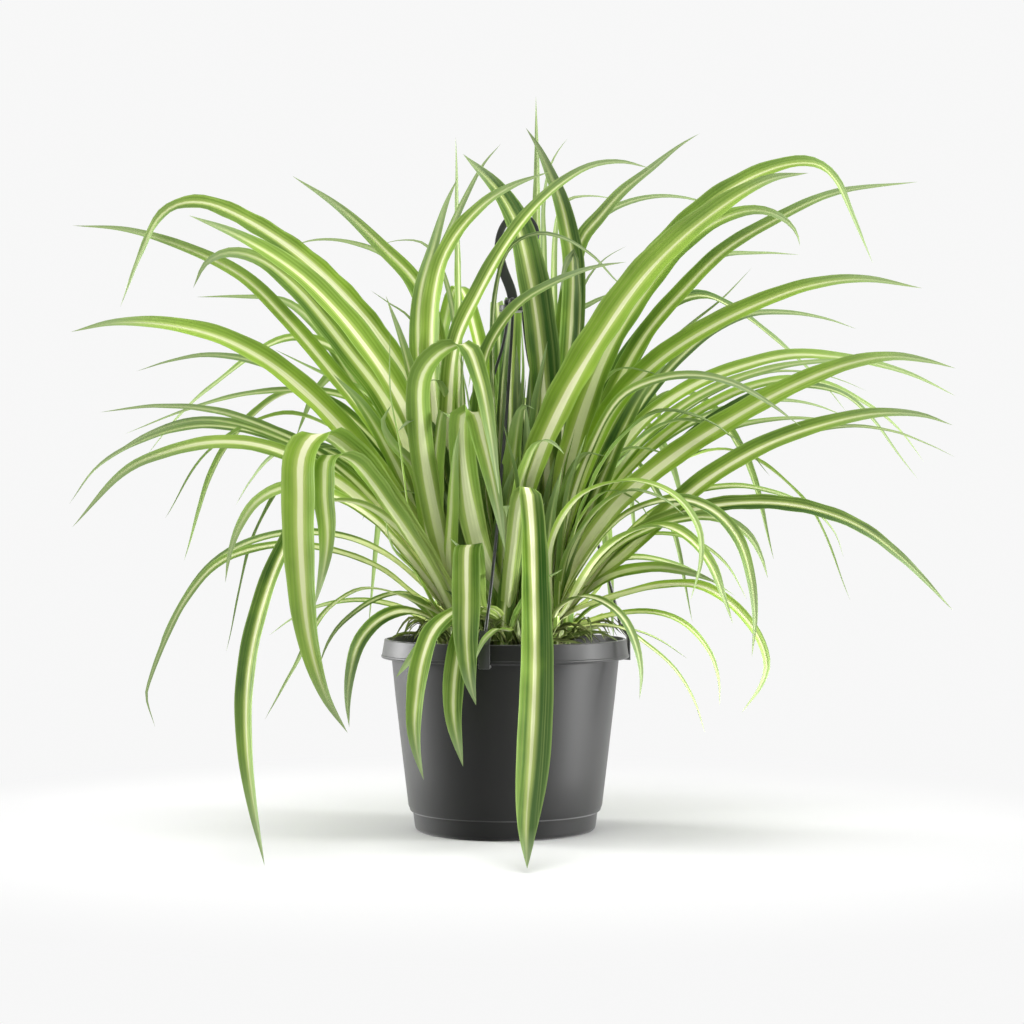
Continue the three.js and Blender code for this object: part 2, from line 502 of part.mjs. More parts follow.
  ['front', 105, 14.5, 10, 2.2, [-14, 146, -30, 148, -45, 137, -62, 119, -75, 104], 0.5],
  ['front', 115, 15, 0, 2.6, [-16, 150, -34, 149, -48, 137, -56, 118, -60, 95, -62, 72, -60, 52, -56,
    34], 0.55],
  ['front', 118, 15, 0, 2.4, [-6, 148, -17, 152, -25, 143, -31, 125, -35, 98, -35, 75, -29, 43], 0.55],
  ['front', 58, 6.6, 10, 1, [5, 136, -2, 141, -10, 144, -19, 145]],
  ['front', 96, 6.6, 0, 1.2, [3, 136, -5, 137, -12, 132, -17, 125, -20, 117]],
  ['front', 105, 18, 0, 1, [-20, 200, -30, 265, -28, 286, -21, 286, -15, 266, -9, 240, -4, 215, 0,
    190]],
  ['front', 60, 11.5, 55, 1, [-22, 180, -29, 230, -31, 275, -30, 310, -28, 330]],
  ['front', 52, 15.5, 35, 1, [-6, 160, -14, 205, -24, 235, -32, 262]],
  ['front', 48, 15.5, 10, 1, [2, 165, -1, 200, 3, 232, 9, 256]],
  ['right_front', 8, 16.7, 55, 1, [44, 180, 66, 240, 92, 296, 112, 322]],
  ['right_back', 0, 16, 55, 1, [40, 200, 52, 270, 64, 330, 72, 372]],
  ['right_front', 35, 16, 45, 1, [16, 180, 19, 240, 22, 290, 29, 335]],
  ['back', -20, 19, 35, 1, [4, 180, 9, 260, 13, 310, 11, 349]],
  ['back', -35, 17, 35, 1, [-6, 200, -4, 280, -1, 320, 4, 356]],
];

// Leaves that fill each rosette by rule: how many, the middle and spread of their directions, and
// the least and greatest reach, rise over the base, and drop from the top of the arch to the tip.
const FILLING = {
  left_front: { count: 4, direction: -160, spread: 90, reach: [25, 70], rise: [90, 190], drop: [0, 12] },
  front: { count: 4, direction: -90, spread: 110, reach: [20, 60], rise: [80, 170], drop: [0, 12] },
  right_front: { count: 6, direction: -15, spread: 90, reach: [55, 130], rise: [90, 200], drop: [0, 25] },
  left_back: { count: 6, direction: 142, spread: 80, reach: [140, 250], rise: [120, 210], drop: [30, 150] },
  right_back: { count: 6, direction: 38, spread: 80, reach: [140, 250], rise: [120, 210], drop: [30, 150] },
  back: { count: 13, direction: 90, spread: 105, reach: [60, 260], rise: [120, 270], drop: [20, 190] },
};
const FILLING_WIDTH = [8, 17];
const FILLING_TURN = 20;
const FILLING_ROOT_SPREAD = 4;
const FILLING_RISING = [[0.14, 0.45], [0.34, 0.83], [0.59, 1]];   // reach, share of the rise
const FILLING_FALLING = [[0.85, 0.35], [1, 1]];                   // reach, share of the drop
const DEEPEST_DROP = 100;                                         // below the rosette's base

// Leaf bases stand side by side in their rosette, in the order of how far the leaves reach to the front.
const ROOT_SPREAD = 8.5;
const FAN_REACH = 60;
const FAN_MIDDLE = {
  left_front: 80,
  front: 85,
  right_front: 75,
  left_back: -65,
  right_back: -65,
  back: -120,
};

/** A point on the line of sight from EYE through (across, up) on the axis plane, at a depth. */
function seen(across, up, depth) {
  const share = 1 - depth / EYE.distance;
  return new THREE.Vector3(EYE.x + (across - EYE.x) * share, -depth, EYE.z + (up - EYE.z) * share);
}

/** Where a point is seen from EYE, on the axis plane. */
function sightOf(point) {
  const share = 1 + point.y / EYE.distance;
  return new THREE.Vector2(EYE.x + (point.x - EYE.x) / share, EYE.z + (point.z - EYE.z) / share);
}

/** An even spread of values in 0..1, a different one for each kind. */
function spread(index, kind) {
  const steps = [0.618034, 0.754878, 0.569840, 0.819173, 0.671044];
  return (0.5 + (index + 1) * steps[kind]) % 1;
}

const between = ([low, high], share) => low + (high - low) * share;

/** Two points inside the rosette's core that a leaf grows from, fanned out the way that it reaches. */
function rootPoints(crown, towards, index) {
  const start = ROOT_HEIGHT + ROOT_LIFT * spread(index, 4);
  const x = towards.x + ROOT_SHIFT * (spread(index, 2) - 0.5);
  const y = towards.y + ROOT_SHIFT * (spread(index, 3) - 0.5);
  const at = (share, height) => new THREE.Vector3(crown.x + share * x, crown.y + share * y, height);
  return [at(ROOT_SLANT, start), at(1, start + ROOT_LENGTH)];
}

/** The points of a leaf placed one by one; more reach moves it along its lines of sight only. */
function placedRoute([crownName, reach, , , early, route], index, moreReach) {
  const crown = CROWNS[crownName];
  const last = new THREE.Vector2(route[route.length - 2], route[route.length - 1]);
  const end = seen(last.x, last.y, reach + moreReach);
  const fan = THREE.MathUtils.clamp((-end.y - FAN_MIDDLE[crownName]) / FAN_REACH, -1, 1);
  const sideways = ROOT_SIDESTEP * Math.sign(end.x - crown.x);
  const towards = new THREE.Vector2(sideways, -ROOT_SPREAD * fan);
  const roots = rootPoints(crown, towards, index);
  const start = roots[1];
  let from = sightOf(start);
  const lengths = [0];
  for (let i = 0; i < route.length; i += 2) {
    const next = new THREE.Vector2(route[i], route[i + 1]);
    lengths.push(lengths[lengths.length - 1] + next.distanceTo(from));
    from = next;
  }
  const total = lengths[lengths.length - 1];
  const points = [...roots];
  for (let i = 0; i < route.length; i += 2) {
    const share = 1 - (1 - lengths[i / 2 + 1] / total) ** early;
    const depth = THREE.MathUtils.lerp(-start.y, reach + moreReach, share);
    points.push(seen(route[i], route[i + 1], depth));
  }
  return points;
}

/** The points of a leaf placed by rule, turned about its rosette by some degrees. */
function filledRoute(crownName, index, turn) {
  const crown = CROWNS[crownName];
  const rule = FILLING[crownName];
  const share = (index + 0.5) / rule.count - 0.5;
  const angle = radians(rule.direction + rule.spread * share + turn);
  const towards = new THREE.Vector2(Math.cos(angle), Math.sin(angle));
  const reach = between(rule.reach, spread(index, 0));
  const rise = between(rule.rise, spread(index, 1));
  const drop = Math.min(between(rule.drop, spread(index, 2)), rise + DEEPEST_DROP);
  const roots = rootPoints(crown, towards.clone().multiplyScalar(FILLING_ROOT_SPREAD), index);
  const start = roots[1].z;
  const at = (out, height) => new THREE.Vector3(
    crown.x + towards.x * reach * out, crown.y + towards.y * reach * out, height);
  return [
    ...roots,
    ...FILLING_RISING.map(([out, up]) => at(out, start + rise * up)),
    ...FILLING_FALLING.map(([out, down]) => at(out, start + rise - drop * down)),
  ];
}

/** Stations along a curve, closer together where it bends. */
function stations(curve) {
  const fine = 160;
  const straightStep = 100;            // a station for every 100 mm
  const bendStep = 0.82;               // and for every 0.82 radians of bend
  const fewest = 5;
  const most = 12;
  const points = curve.getSpacedPoints(fine);
  const effort = [0];
  for (let i = 1; i <= fine; i += 1) {
    const ahead = points[Math.min(i + 1, fine)].clone().sub(points[i]);
    const behind = points[i].clone().sub(points[i - 1]);
    const bend = i < fine ? behind.angleTo(ahead) : 0;
    effort.push(effort[i - 1] + behind.length() / straightStep + bend / bendStep);
  }
  const count = THREE.MathUtils.clamp(Math.round(effort[fine]), fewest, most);
  const chosen = [];
  for (let k = 0; k <= count; k += 1) {
    const wanted = effort[fine] * k / count;
    const i = Math.min(effort.findIndex((value) => value >= wanted - 1e-9), fine);
    chosen.push({ share: i / fine, point: points[i], tangent: tangentAt(points, i) });
  }
  return chosen;
}

function tangentAt(points, i) {
  const ahead = points[Math.min(i + 1, points.length - 1)];
  const behind = points[Math.max(i - 1, 0)];
  return ahead.clone().sub(behind).normalize();
}

/** Width of a blade at a share of its length. */
function bladeWidth(width, widest, share) {
  const base = Math.min(Math.max(LEAF_BASE_WIDTH, LEAF_BASE_SHARE * width), width);
  if (share < widest) {
    return THREE.MathUtils.lerp(base, width, THREE.MathUtils.smoothstep(share, 0, widest));
  }
  return width * (1 - ((share - widest) / (1 - widest)) ** LEAF_TAPER);
}

/** One blade along its points: a channelled ribbon, thick at the midrib, that ends in a point. */
function blade({ points, width, turn, widest = LEAF_WIDEST_AT }, more = 0, fromShare = 0) {
  const lifted = points.map((point) =>
    new THREE.Vector3(point.x, point.y, Math.max(point.z, LEAF_FREE_HEIGHT)));
  const curve = new THREE.CatmullRomCurve3(lifted, false, 'centripetal');
  const places = stations(curve).filter(({ share }) => share >= fromShare);
  const keeled = width <= KEELED_WIDTH;
  const out = furthest(lifted);
  const side = new THREE.Vector3(out.y, -out.x, 0);
  const facing = side.y < 0 ? 1 : -1;
  const vertices = [];
  places.forEach(({ share, point, tangent }, i) => {
    if (i === places.length - 1) {
      vertices.push(point);
      return;
    }
    const level = side.clone().addScaledVector(tangent, -side.dot(tangent)).normalize();
    const upper = level.clone().cross(tangent);
    const angle = radians(turn) * facing;
    const normal = upper.clone().multiplyScalar(Math.cos(angle)).addScaledVector(level, Math.sin(angle));
    const across = tangent.clone().cross(normal);
    const half = bladeWidth(width, widest, share) / 2 + more;
    const thick = LEAF_THICKNESS / 2 + more;
    const rise = keeled ? thick : half * LEAF_CHANNEL;
    vertices.push(point.clone().addScaledVector(across, -half).addScaledVector(normal, rise));
    vertices.push(point.clone().addScaledVector(normal, -thick));
    vertices.push(point.clone().addScaledVector(across, half).addScaledVector(normal, rise));
    if (!keeled) vertices.push(point.clone().addScaledVector(normal, thick));
  });
  return ribbonSolid(vertices, places.length - 1, keeled ? 3 : 4);
}

/** Level direction from a leaf's first point to its furthest one. */
function furthest(points) {
  const out = new THREE.Vector3();
  for (const point of points) {
    const flat = point.clone().sub(points[0]).setZ(0);
    if (flat.length() > out.length()) out.copy(flat);
  }
  return out.normalize();
}

/** A closed solid of rings and a tip; both faces of the ribbon are split into triangles alike. */
function ribbonSolid(vertices, rings, sides) {
  const triangles = [[0, 1, 2]];
  if (sides === 4) triangles.push([0, 2, 3]);
  for (let i = 0; i < rings - 1; i += 1) {
    for (let j = 0; j < sides; j += 1) {
      const a = sides * i + j;
      const b = sides * i + (j + 1) % sides;
      if (j % 2 === 0) triangles.push([a, a + sides, b + sides], [a, b + sides, b]);
      else triangles.push([a, a + sides, b], [b, a + sides, b + sides]);
    }
  }
  const tip = vertices.length - 1;
  const last = sides * (rings - 1);
  for (let j = 0; j < sides; j += 1) triangles.push([last + j, tip, last + (j + 1) % sides]);
  const positions = new Float32Array(vertices.flatMap((v) => [v.x, v.y, v.z]));
  const closed = (faces) => new wasm.Manifold(new wasm.Mesh({
    numProp: 3,
    vertProperties: positions,
    triVerts: new Uint32Array(faces.flat()),
  }));
  const body = closed(triangles);
  return body.volume() > 0 ? body : closed(triangles.map(([a, b, c]) => [a, c, b]));
}

/** The rosette's short core, which the leaf bases stand in. */
function makeCore(crown) {
  const profile = [
    [0, CROWN_CORE_BOTTOM],
    [CROWN_CORE_RADIUS - 3, CROWN_CORE_BOTTOM],
    [CROWN_CORE_RADIUS, CROWN_CORE_BOTTOM + 6],
    [CROWN_CORE_RADIUS, ROOT_HEIGHT - 1],
    [CROWN_SHOULDER_RADIUS, CROWN_SHOULDER_HEIGHT],
    [CROWN_SHOULDER_RADIUS, CROWN_SHOULDER_HEIGHT + CROWN_SHOULDER_LENGTH],
    [CROWN_TIP_RADIUS, CROWN_CORE_TOP],
    [0, CROWN_CORE_TOP + CROWN_TIP_RISE],
  ];
  return solid(lathe(profile, CORE_SIDES).translate(crown.x, crown.y, 0));
}

// ---------- bending leaves clear ----------

const REACH_CHANGES = [0, 5, -5, 10, -10, 16, -16, 23, -23, 31, -31, 40, -40, 52, -52];
const TURN_CHANGES = [0, 3, -3, 6, -6, 10, -10, 15, -15, 21, -21, 28, -28];
const OUTER_SHARE = 0.25;              // leaves of one rosette may cross nearer to its core
const CROSSING_COST = 1000;            // a crossing between rosettes counts for more than one inside one

function boundsMeet(a, b) {
  return [0, 1, 2].every((k) => a.min[k] <= b.max[k] && b.min[k] <= a.max[k]);
}

/** Volume that a body shares with those of the others that its box meets. */
function sharedVolume(body, others) {
  const box = body.boundingBox();
  return others.filter((other) => boundsMeet(box, other.box))
    .reduce((sum, other) => sum + body.intersect(other.body).volume(), 0);
}

/** All leaves of all rosettes, bent clear of other rosettes, of the pot and of the hanger. */
function growLeaves(fixed) {
  const boxed = (body) => ({ body, box: body.boundingBox() });
  const names = Object.keys(CROWNS);
  const foreign = Object.fromEntries(names.map((name) => [name, fixed.map(boxed)]));
  const outer = Object.fromEntries(names.map((name) => [name, []]));
  const grown = Object.fromEntries(names.map((name) => [name, []]));
  const grow = (crownName, offered) => {
    let best = null;
    for (const leaf of offered) {
      const crossing = sharedVolume(blade(leaf, BEND_CLEARANCE), foreign[crownName]);
      const tangled = sharedVolume(blade(leaf, 0, OUTER_SHARE), outer[crownName]);
      const cost = crossing * CROSSING_COST + tangled;
      if (best === null || cost < best.cost) best = { leaf, cost };
      if (cost === 0) break;
    }
    const body = blade(best.leaf);
    grown[crownName].push(body);
    outer[crownName].push(boxed(blade(best.leaf, 0, OUTER_SHARE)));
    for (const name of names) {
      if (name !== crownName) foreign[name].push(boxed(body));
    }
  };
  PLACED_LEAVES.forEach((leaf, index) => {
    const [crownName, , width, turn, , , widest] = leaf;
    grow(crownName, REACH_CHANGES.map((more) => (
      { points: placedRoute(leaf, index, more), width, turn, widest })));
  });
  for (const [crownName, rule] of Object.entries(FILLING)) {
    for (let index = 0; index < rule.count; index += 1) {
      const width = between(FILLING_WIDTH, spread(index, 3));
      const turn = FILLING_TURN * (spread(index, 0) - 0.5);
      grow(crownName, TURN_CHANGES.map((more) => (
        { points: filledRoute(crownName, index, more), width, turn })));
    }
  }
  return grown;
}

// ---------- the whole plant ----------

const plant = new THREE.Group();
plant.name = 'potted_spider_plant';

const pot = makePot();
const soil = makeSoil(CROWNS);
const hook = makeHook();
const strands = Object.fromEntries(
  Object.entries(STRANDS).map(([name, strand]) => [name, makeStrand(strand)]));

plant.add(meshOf('pot', pot, MATERIALS.pot));
plant.add(meshOf('soil', soil, MATERIALS.soil));
plant.add(meshOf('hanger_hook', hook, MATERIALS.hanger));
for (const [name, body] of Object.entries(strands)) {
  plant.add(meshOf(`hanger_strand_${name}`, body, MATERIALS.hanger));
}

const throatSize = HOOK_THROAT.high.map((value, k) => value - HOOK_THROAT.low[k]);
const throat = new THREE.BoxGeometry(...throatSize).translate(
  ...HOOK_THROAT.low.map((value, k) => value + throatSize[k] / 2));
const leaves = growLeaves([pot, soil, hook, ...Object.values(strands), solid(throat)]);
for (const [name, bodies] of Object.entries(leaves)) {
  const whole = bodies.reduce((sum, body) => sum.add(body), makeCore(CROWNS[name]));
  plant.add(meshOf(`crown_${name}`, whole, MATERIALS.leaf));
}

export default plant;
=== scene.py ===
"""A variegated spider plant in a hanging pot that stands on a pale studio floor.

Lengths are in millimetres, and are turned to metres where a mesh is made.
"""

import logging
import math
import random
from bisect import bisect_left
from collections.abc import Callable
from dataclasses import dataclass
from enum import Enum
from functools import lru_cache, partial

import bmesh
import bpy
from mathutils import Matrix, Vector
from mathutils.kdtree import KDTree


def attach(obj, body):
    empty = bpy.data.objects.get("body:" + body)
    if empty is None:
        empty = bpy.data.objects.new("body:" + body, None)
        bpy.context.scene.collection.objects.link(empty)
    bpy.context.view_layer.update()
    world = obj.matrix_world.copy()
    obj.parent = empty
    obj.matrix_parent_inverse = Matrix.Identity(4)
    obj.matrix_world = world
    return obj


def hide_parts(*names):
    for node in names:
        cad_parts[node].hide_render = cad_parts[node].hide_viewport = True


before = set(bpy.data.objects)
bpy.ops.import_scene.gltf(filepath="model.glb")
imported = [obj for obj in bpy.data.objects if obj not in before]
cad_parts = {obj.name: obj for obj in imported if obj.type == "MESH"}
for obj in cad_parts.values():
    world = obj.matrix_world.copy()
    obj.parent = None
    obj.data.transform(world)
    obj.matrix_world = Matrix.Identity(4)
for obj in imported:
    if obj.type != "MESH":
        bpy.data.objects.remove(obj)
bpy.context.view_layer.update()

MM = 0.001
BODY = "root"

LOG = logging.getLogger("spider_plant")

TEXTURE_MAP = "OFBake"
BLADE_ATTRIBUTES = ("across", "along", "half_width", "stripe", "tone", "seed", "under")
ROOM_LIGHT = 0.935
# How close corners are joined, in metres, and how close a tip is to its corner in the plain solid.
SEAM_REACH = 1e-7
TIP_REACH = 0.02
ROUND_OFF = 1e-6
SPREAD_STEPS = (0.618034, 0.754878, 0.569840, 0.819173, 0.671044)
# How a leaf's reach (mm) and direction (degrees) are changed until it is the one in the solid.
REACH_CHANGES = (0, 5, -5, 10, -10, 16, -16, 23, -23, 31, -31, 40, -40, 52, -52)
TURN_CHANGES = (0, 3, -3, 6, -6, 10, -10, 15, -15, 21, -21, 28, -28)

# Settings that many nodes share. Inputs 0, 6 and 7 of a mixed colour are its share, the colour
# below and the colour on top.
MIXED = {"out": 2, "data_type": "RGBA"}
SMOOTH = {"interpolation_type": "SMOOTHSTEP"}

Span = tuple[float, float]
Triple = tuple[float, float, float]
Profile = tuple[Span, ...]
# A ramp is where it starts and ends, and its values there.
Ramp = tuple[float, float, float, float]
Colour = tuple[float, float, float, float]
Material = bpy.types.Material
Mesh = bmesh.types.BMesh
Socket = bpy.types.NodeSocket
AddNode = Callable[..., Socket]


class Lamp(Enum):
    """The soft lights of the studio."""

    LEFT = "left"
    RIGHT = "right"
    TOP = "top"
    FRONT = "front"
    BACK = "back"


# ---------- materials ----------


def linear_colour(code: str) -> Colour:
    """Turn an sRGB colour into linear light.

    Args:
        code: The colour as "#rrggbb".

    Returns:
        Red, green, blue and an alpha of 1, as shaders take them.
    """
    parts = [int(code[i : i + 2], 16) / 255 for i in (1, 3, 5)]
    red, green, blue = (
        p / 12.92 if p <= 0.04045 else ((p + 0.055) / 1.055) ** 2.4 for p in parts
    )
    return red, green, blue, 1.0


def add_node(
    tree: bpy.types.NodeTree,
    kind: str,
    inputs: dict | tuple = (),
    out: int | str = 0,
    **settings: object,
) -> Socket | None:
    """Add one node with its settings, values and links.

    Args:
        tree: The node tree that it joins.
        kind: The node's type name after "ShaderNode".
        inputs: Its inputs, by name or number or from the first on: a socket is linked, an sRGB
            colour is set in linear light, and anything else is set as it is.
        out: Which of its outputs is wanted.
        settings: The node's own properties.

    Returns:
        The wanted output, or None for a node that has none.
    """
    node = tree.nodes.new(f"ShaderNode{kind}")
    for name, value in settings.items():
        setattr(node, name, value)
    for key, value in inputs.items() if isinstance(inputs, dict) else enumerate(inputs):
        if isinstance(value, Socket):
            tree.links.new(value, node.inputs[key])
        else:
            node.inputs[key].default_value = linear_colour(value) if type(value) is str else value
    return node.outputs[out] if node.outputs else None


def blank_material(name: str) -> tuple[Material, AddNode]:
    """Make a material with an empty node tree.

    Args:
        name: The real material and how its surface was made.

    Returns:
        The material, and what adds a node to its tree.
    """
    material = bpy.data.materials.new(name)
    material.use_nodes = True
    material.node_tree.nodes.clear()
    return material, partial(add_node, material.node_tree)


def close_material(add: AddNode, inputs: dict) -> None:
    """End a material's tree in a Principled shader with these values and links."""
    add("OutputMaterial", {"Surface": add("BsdfPrincipled", inputs)})


@dataclass(frozen=True)
class StripedLeaf:
    """Living leaf: a waxy skin over green margins and a cream middle stripe with fine veins."""

    deep: str = "#214d02"
    bright: str = "#9dc23c"
    cream: str = "#f3f5c8"
    soft: str = "#ccda7c"
    young: str = "#cbd983"
    margin: str = "#adc872"
    under: str = "#93b45c"
    grey_tip: str = "#93a678"
    roughness: float = 0.48
    specular: float = 0.08
    under_share: float = 0.3
    vein_spacing: float = 2.1
    vein_height: float = 0.12
    vein_shade: float = 0.045
    # How strongly one half of a leaf is painted lighter and the other darker, as light falls on its
    # channel.
    fold_shade: float = 0.5
    edge: float = 0.45
    halo: float = 0.34
    halo_share: float = 0.6
    stripe_at_base: float = 0.72
    stripe_between: Profile = ((0.25, 0.46), (0.5, 0.19), (0.8, 0.12))
    stripe_at_tip: float = 0.08
    stripe_strength: Ramp = (0.5, 1.0, 0.95, 0.4)
    waver_seed: float = 37.0
    wavers: float = 6.0
    waver: Ramp = (0.0, 1.0, -0.08, 0.08)
    aside: Ramp = (0.0, 1.0, -0.12, 0.12)
    line_seed: float = 53.0
    line_scale: float = 0.62
    lines: Ramp = (0.52, 0.68, 0.0, 0.18)
    patch_scale: float = 22.0
    uneven: Ramp = (0.2, 0.8, -0.27, 0.27)
    lit_margin: Ramp = (0.86, 1.0, 0.0, 0.5)
    young_scale: float = 1.3
    young_lines: Ramp = (0.35, 0.65, 0.9, 0.45)
    young_reach: Span = (0.48, 0.04)
    slim_greying: Ramp = (2.5, 6.0, 0.8, 0.22)
    greying_reach: Span = (0.36, 0.9)

    def material(self) -> Material:
        """Build the leaf's material from the attributes that each blade carries."""
        material, add = blank_material("spider_plant_leaf_living")
        read = {
            name: add("Attribute", out="Fac", attribute_name=name) for name in BLADE_ATTRIBUTES
        }
        off_middle = add("Math", (read["across"],), operation="ABSOLUTE")
        out_mm = add("Math", (read["across"], read["half_width"]), operation="MULTIPLY")
        stripe, halo = self._stripe(add, read)
        tissue, vein = self._green(add, read, out_mm, halo)
        for factor, colour in (
            (add("MapRange", (off_middle, *self.lit_margin)), self.margin),
            (self._young(add, read, out_mm), self.young),
            (stripe, self.cream),
            (self._grey_tip(add, read), self.grey_tip),
            (add("Math", (read["under"], self.under_share), operation="MULTIPLY"), self.under),
        ):
            tissue = add("Mix", {0: factor, 6: tissue, 7: colour}, **MIXED)
        bump = add("Bump", {"Height": vein, "Strength": 0.5, "Distance": self.vein_height * MM})
        surface = {"Base Color": tissue, "Roughness": self.roughness, "Normal": bump}
        close_material(add, surface | {"IOR": 1.45, "Specular IOR Level": self.specular})
        return material

    def _stripe(self, add: AddNode, read: dict[str, Socket]) -> list[Socket]:
        """Draw the stripe, which narrows from base to tip and whose border wavers a little.

        Args:
            add: What adds a node.
            read: The blade's attributes.

        Returns:
            Masks of the cream stripe and of the soft border round it.
        """
        seed = add("Math", (read["seed"], self.waver_seed), operation="MULTIPLY")
        along = add("Math", (read["along"], self.wavers), operation="MULTIPLY")
        place = add("CombineXYZ", (seed, along))
        waver = add("TexNoise", {"Vector": place, "Scale": 1.0, "Detail": 2.0})
        shift = add("MapRange", (waver, *self.waver))
        aside = add("MapRange", (read["seed"], *self.aside))
        moved = add("Math", (read["across"], aside), operation="SUBTRACT")
        off_stripe = add("Math", (moved,), operation="ABSOLUTE")
        shifted = add("Math", (off_stripe, shift), operation="ADD")
        profile = add("ValToRGB", (read["along"],))
        stops = profile.node.color_ramp.elements
        stops[0].color = (self.stripe_at_base,) * 3 + (1.0,)
        stops[1].color = (self.stripe_at_tip,) * 3 + (1.0,)
        for where, share in self.stripe_between:
            stops.new(where).color = (share,) * 3 + (1.0,)
        half = add("Math", (profile, read["stripe"]), operation="MULTIPLY")
        blur = add("Math", (self.edge, read["half_width"]), operation="DIVIDE")
        full = add("MapRange", (read["along"], *self.stripe_strength))
        masks = []
        for outside, inside, strength in ((blur, blur, full), (self.halo, 0.0, 1.0)):
            low = add("Math", (half, outside), operation="ADD")
            high = add("Math", (half, inside), operation="SUBTRACT")
            masks.append(add("MapRange", (shifted, low, high, 0.0, strength), **SMOOTH))
        return masks

    def _green(
        self, add: AddNode, read: dict[str, Socket], out_mm: Socket, halo: Socket
    ) -> tuple[Socket, Socket]:
        """Colour the green tissue: veins, pale lines beside the stripe, uneven depth, and painted
        shade that makes one half of each channelled leaf lighter than the other.

        Args:
            add: What adds a node.
            read: The blade's attributes.
            out_mm: Distance from the midrib in millimetres.
            halo: Mask of the soft border round the stripe.

        Returns:
            The colour, and the height of the veins.
        """
        phase = add("Math", (out_mm, math.tau / self.vein_spacing), operation="MULTIPLY")
        vein = add("Math", (phase,), operation="SINE")
        seed = add("Math", (read["seed"], self.line_seed), operation="MULTIPLY")
        over = add("Math", (seed, read["along"]), operation="ADD")
        across = add("Math", (out_mm, self.line_scale), operation="MULTIPLY")
        drawn = add("CombineXYZ", (across, over))
        lines = add("TexNoise", {"Vector": drawn, "Scale": 1.0, "Detail": 2.0})
        pale = add("MapRange", (lines, *self.lines))
        border = add("Math", (halo, self.halo_share), operation="MULTIPLY")
        place = add("TexCoord", out="Object")
        patches = add("TexNoise", {"Vector": place, "Scale": self.patch_scale, "Detail": 3.0})
        uneven = add("MapRange", (patches, *self.uneven))
        # Painted shade of the channel: one half of the leaf lighter and the other darker, by a
        # drawn amount for each leaf.
        centred = add("Math", (read["seed"], 0.5), operation="SUBTRACT")
        lean = add("Math", (centred, read["across"]), operation="MULTIPLY")
        fold_shaded = add("Math", (lean, self.fold_shade, read["tone"]), operation="MULTIPLY_ADD")
        depth = add("Math", (fold_shaded, uneven), operation="ADD")
        veined = (vein, self.vein_shade, depth)
        ribbed = add("Math", veined, operation="MULTIPLY_ADD", use_clamp=True)
        colour = self.deep
        for factor, other in ((ribbed, self.bright), (pale, self.soft), (border, self.soft)):
            colour = add("Mix", {0: factor, 6: colour, 7: other}, **MIXED)
        return colour, vein

    def _grey_tip(self, add: AddNode, read: dict[str, Socket]) -> Socket:
        """Mask the outer part, more where it is slim, which is greyer and duller."""
        slim = add("MapRange", (read["half_width"], *self.slim_greying))
        return add("MapRange", (read["along"], *self.greying_reach, 0.0, slim))

    def _young(self, add: AddNode, read: dict[str, Socket], out_mm: Socket) -> Socket:
        """Mask the leaf's pale and finely lined lower part, which grew last."""
        across = add("Math", (out_mm, self.young_scale), operation="MULTIPLY")
        drawn = add("CombineXYZ", (across, read["along"], read["seed"]))
        fine = add("TexNoise", {"Vector": drawn, "Scale": 1.0, "Detail": 1.0})
        lined = add("MapRange", (fine, *self.young_lines))
        full = add("Math", (lined, read["stripe"]), operation="MULTIPLY", use_clamp=True)
        return add("MapRange", (read["along"], *self.young_reach, 0.0, full), **SMOOTH)


@dataclass(frozen=True)
class LeafSheath:
    """Tight pale leaf bases: whitish green, streaked along, browned where they meet the soil."""

    pale: str = "#cfd99a"
    green: str = "#9bb65c"
    brown: str = "#5c4626"
    streak: float = 0.9
    stretch: float = 18.0
    browned: Ramp = (0.138, 0.124, 0.0, 0.85)

    def material(self) -> Material:
        """Build the streaked material of the leaf bases."""
        material, add = blank_material("leaf_sheath_fibrous")
        place = add("TexCoord", out="Object")
        fine = 1 / (self.streak * MM)
        drawn = add("Mapping", {"Vector": place, "Scale": (fine, fine, self.stretch)})
        streaks = add("TexNoise", {"Vector": drawn, "Scale": 0.45, "Detail": 2.0})
        old = add("MapRange", (add("SeparateXYZ", (place,), out=2), *self.browned), **SMOOTH)
        skin = self.pale
        for factor, colour in ((streaks, self.green), (old, self.brown)):
            skin = add("Mix", {0: factor, 6: skin, 7: colour}, **MIXED)
        bump = add("Bump", {"Height": streaks, "Strength": 0.6, "Distance": 0.4 * MM})
        close_material(add, {"Base Color": skin, "Roughness": 0.55, "Normal": bump})
        return material


@dataclass(frozen=True)
class DryLeaf:
    """Withered leaf: thin, brittle and olive to straw brown, with dark creases along it."""

    olive: str = "#4f6420"
    straw: str = "#8f9a56"
    dark: str = "#2b3012"
    creasing: Triple = (3.0, 5.0, 60.0)
    creased: Span = (0.48, 0.68)

    def material(self) -> Material:
        """Build the withered material from the attributes that each blade carries."""
        material, add = blank_material("spider_plant_leaf_withered")
        across, along, seed, tone = (
            add("Attribute", out="Fac", attribute_name=name)
            for name in ("across", "along", "seed", "tone")
        )
        place = add("CombineXYZ", (across, along, seed))
        drawn = add("Mapping", {"Vector": place, "Scale": self.creasing})
        creases = add("TexNoise", {"Vector": drawn, "Scale": 1.0, "Detail": 3.0})
        dark = add("MapRange", (creases, *self.creased))
        skin = self.olive
        for factor, colour in ((tone, self.straw), (dark, self.dark)):
            skin = add("Mix", {0: factor, 6: skin, 7: colour}, **MIXED)
        bump = add("Bump", {"Height": creases, "Strength": 0.7, "Distance": 0.3 * MM})
        close_material(add, {"Base Color": skin, "Roughness": 0.7, "Normal": bump})
        return material


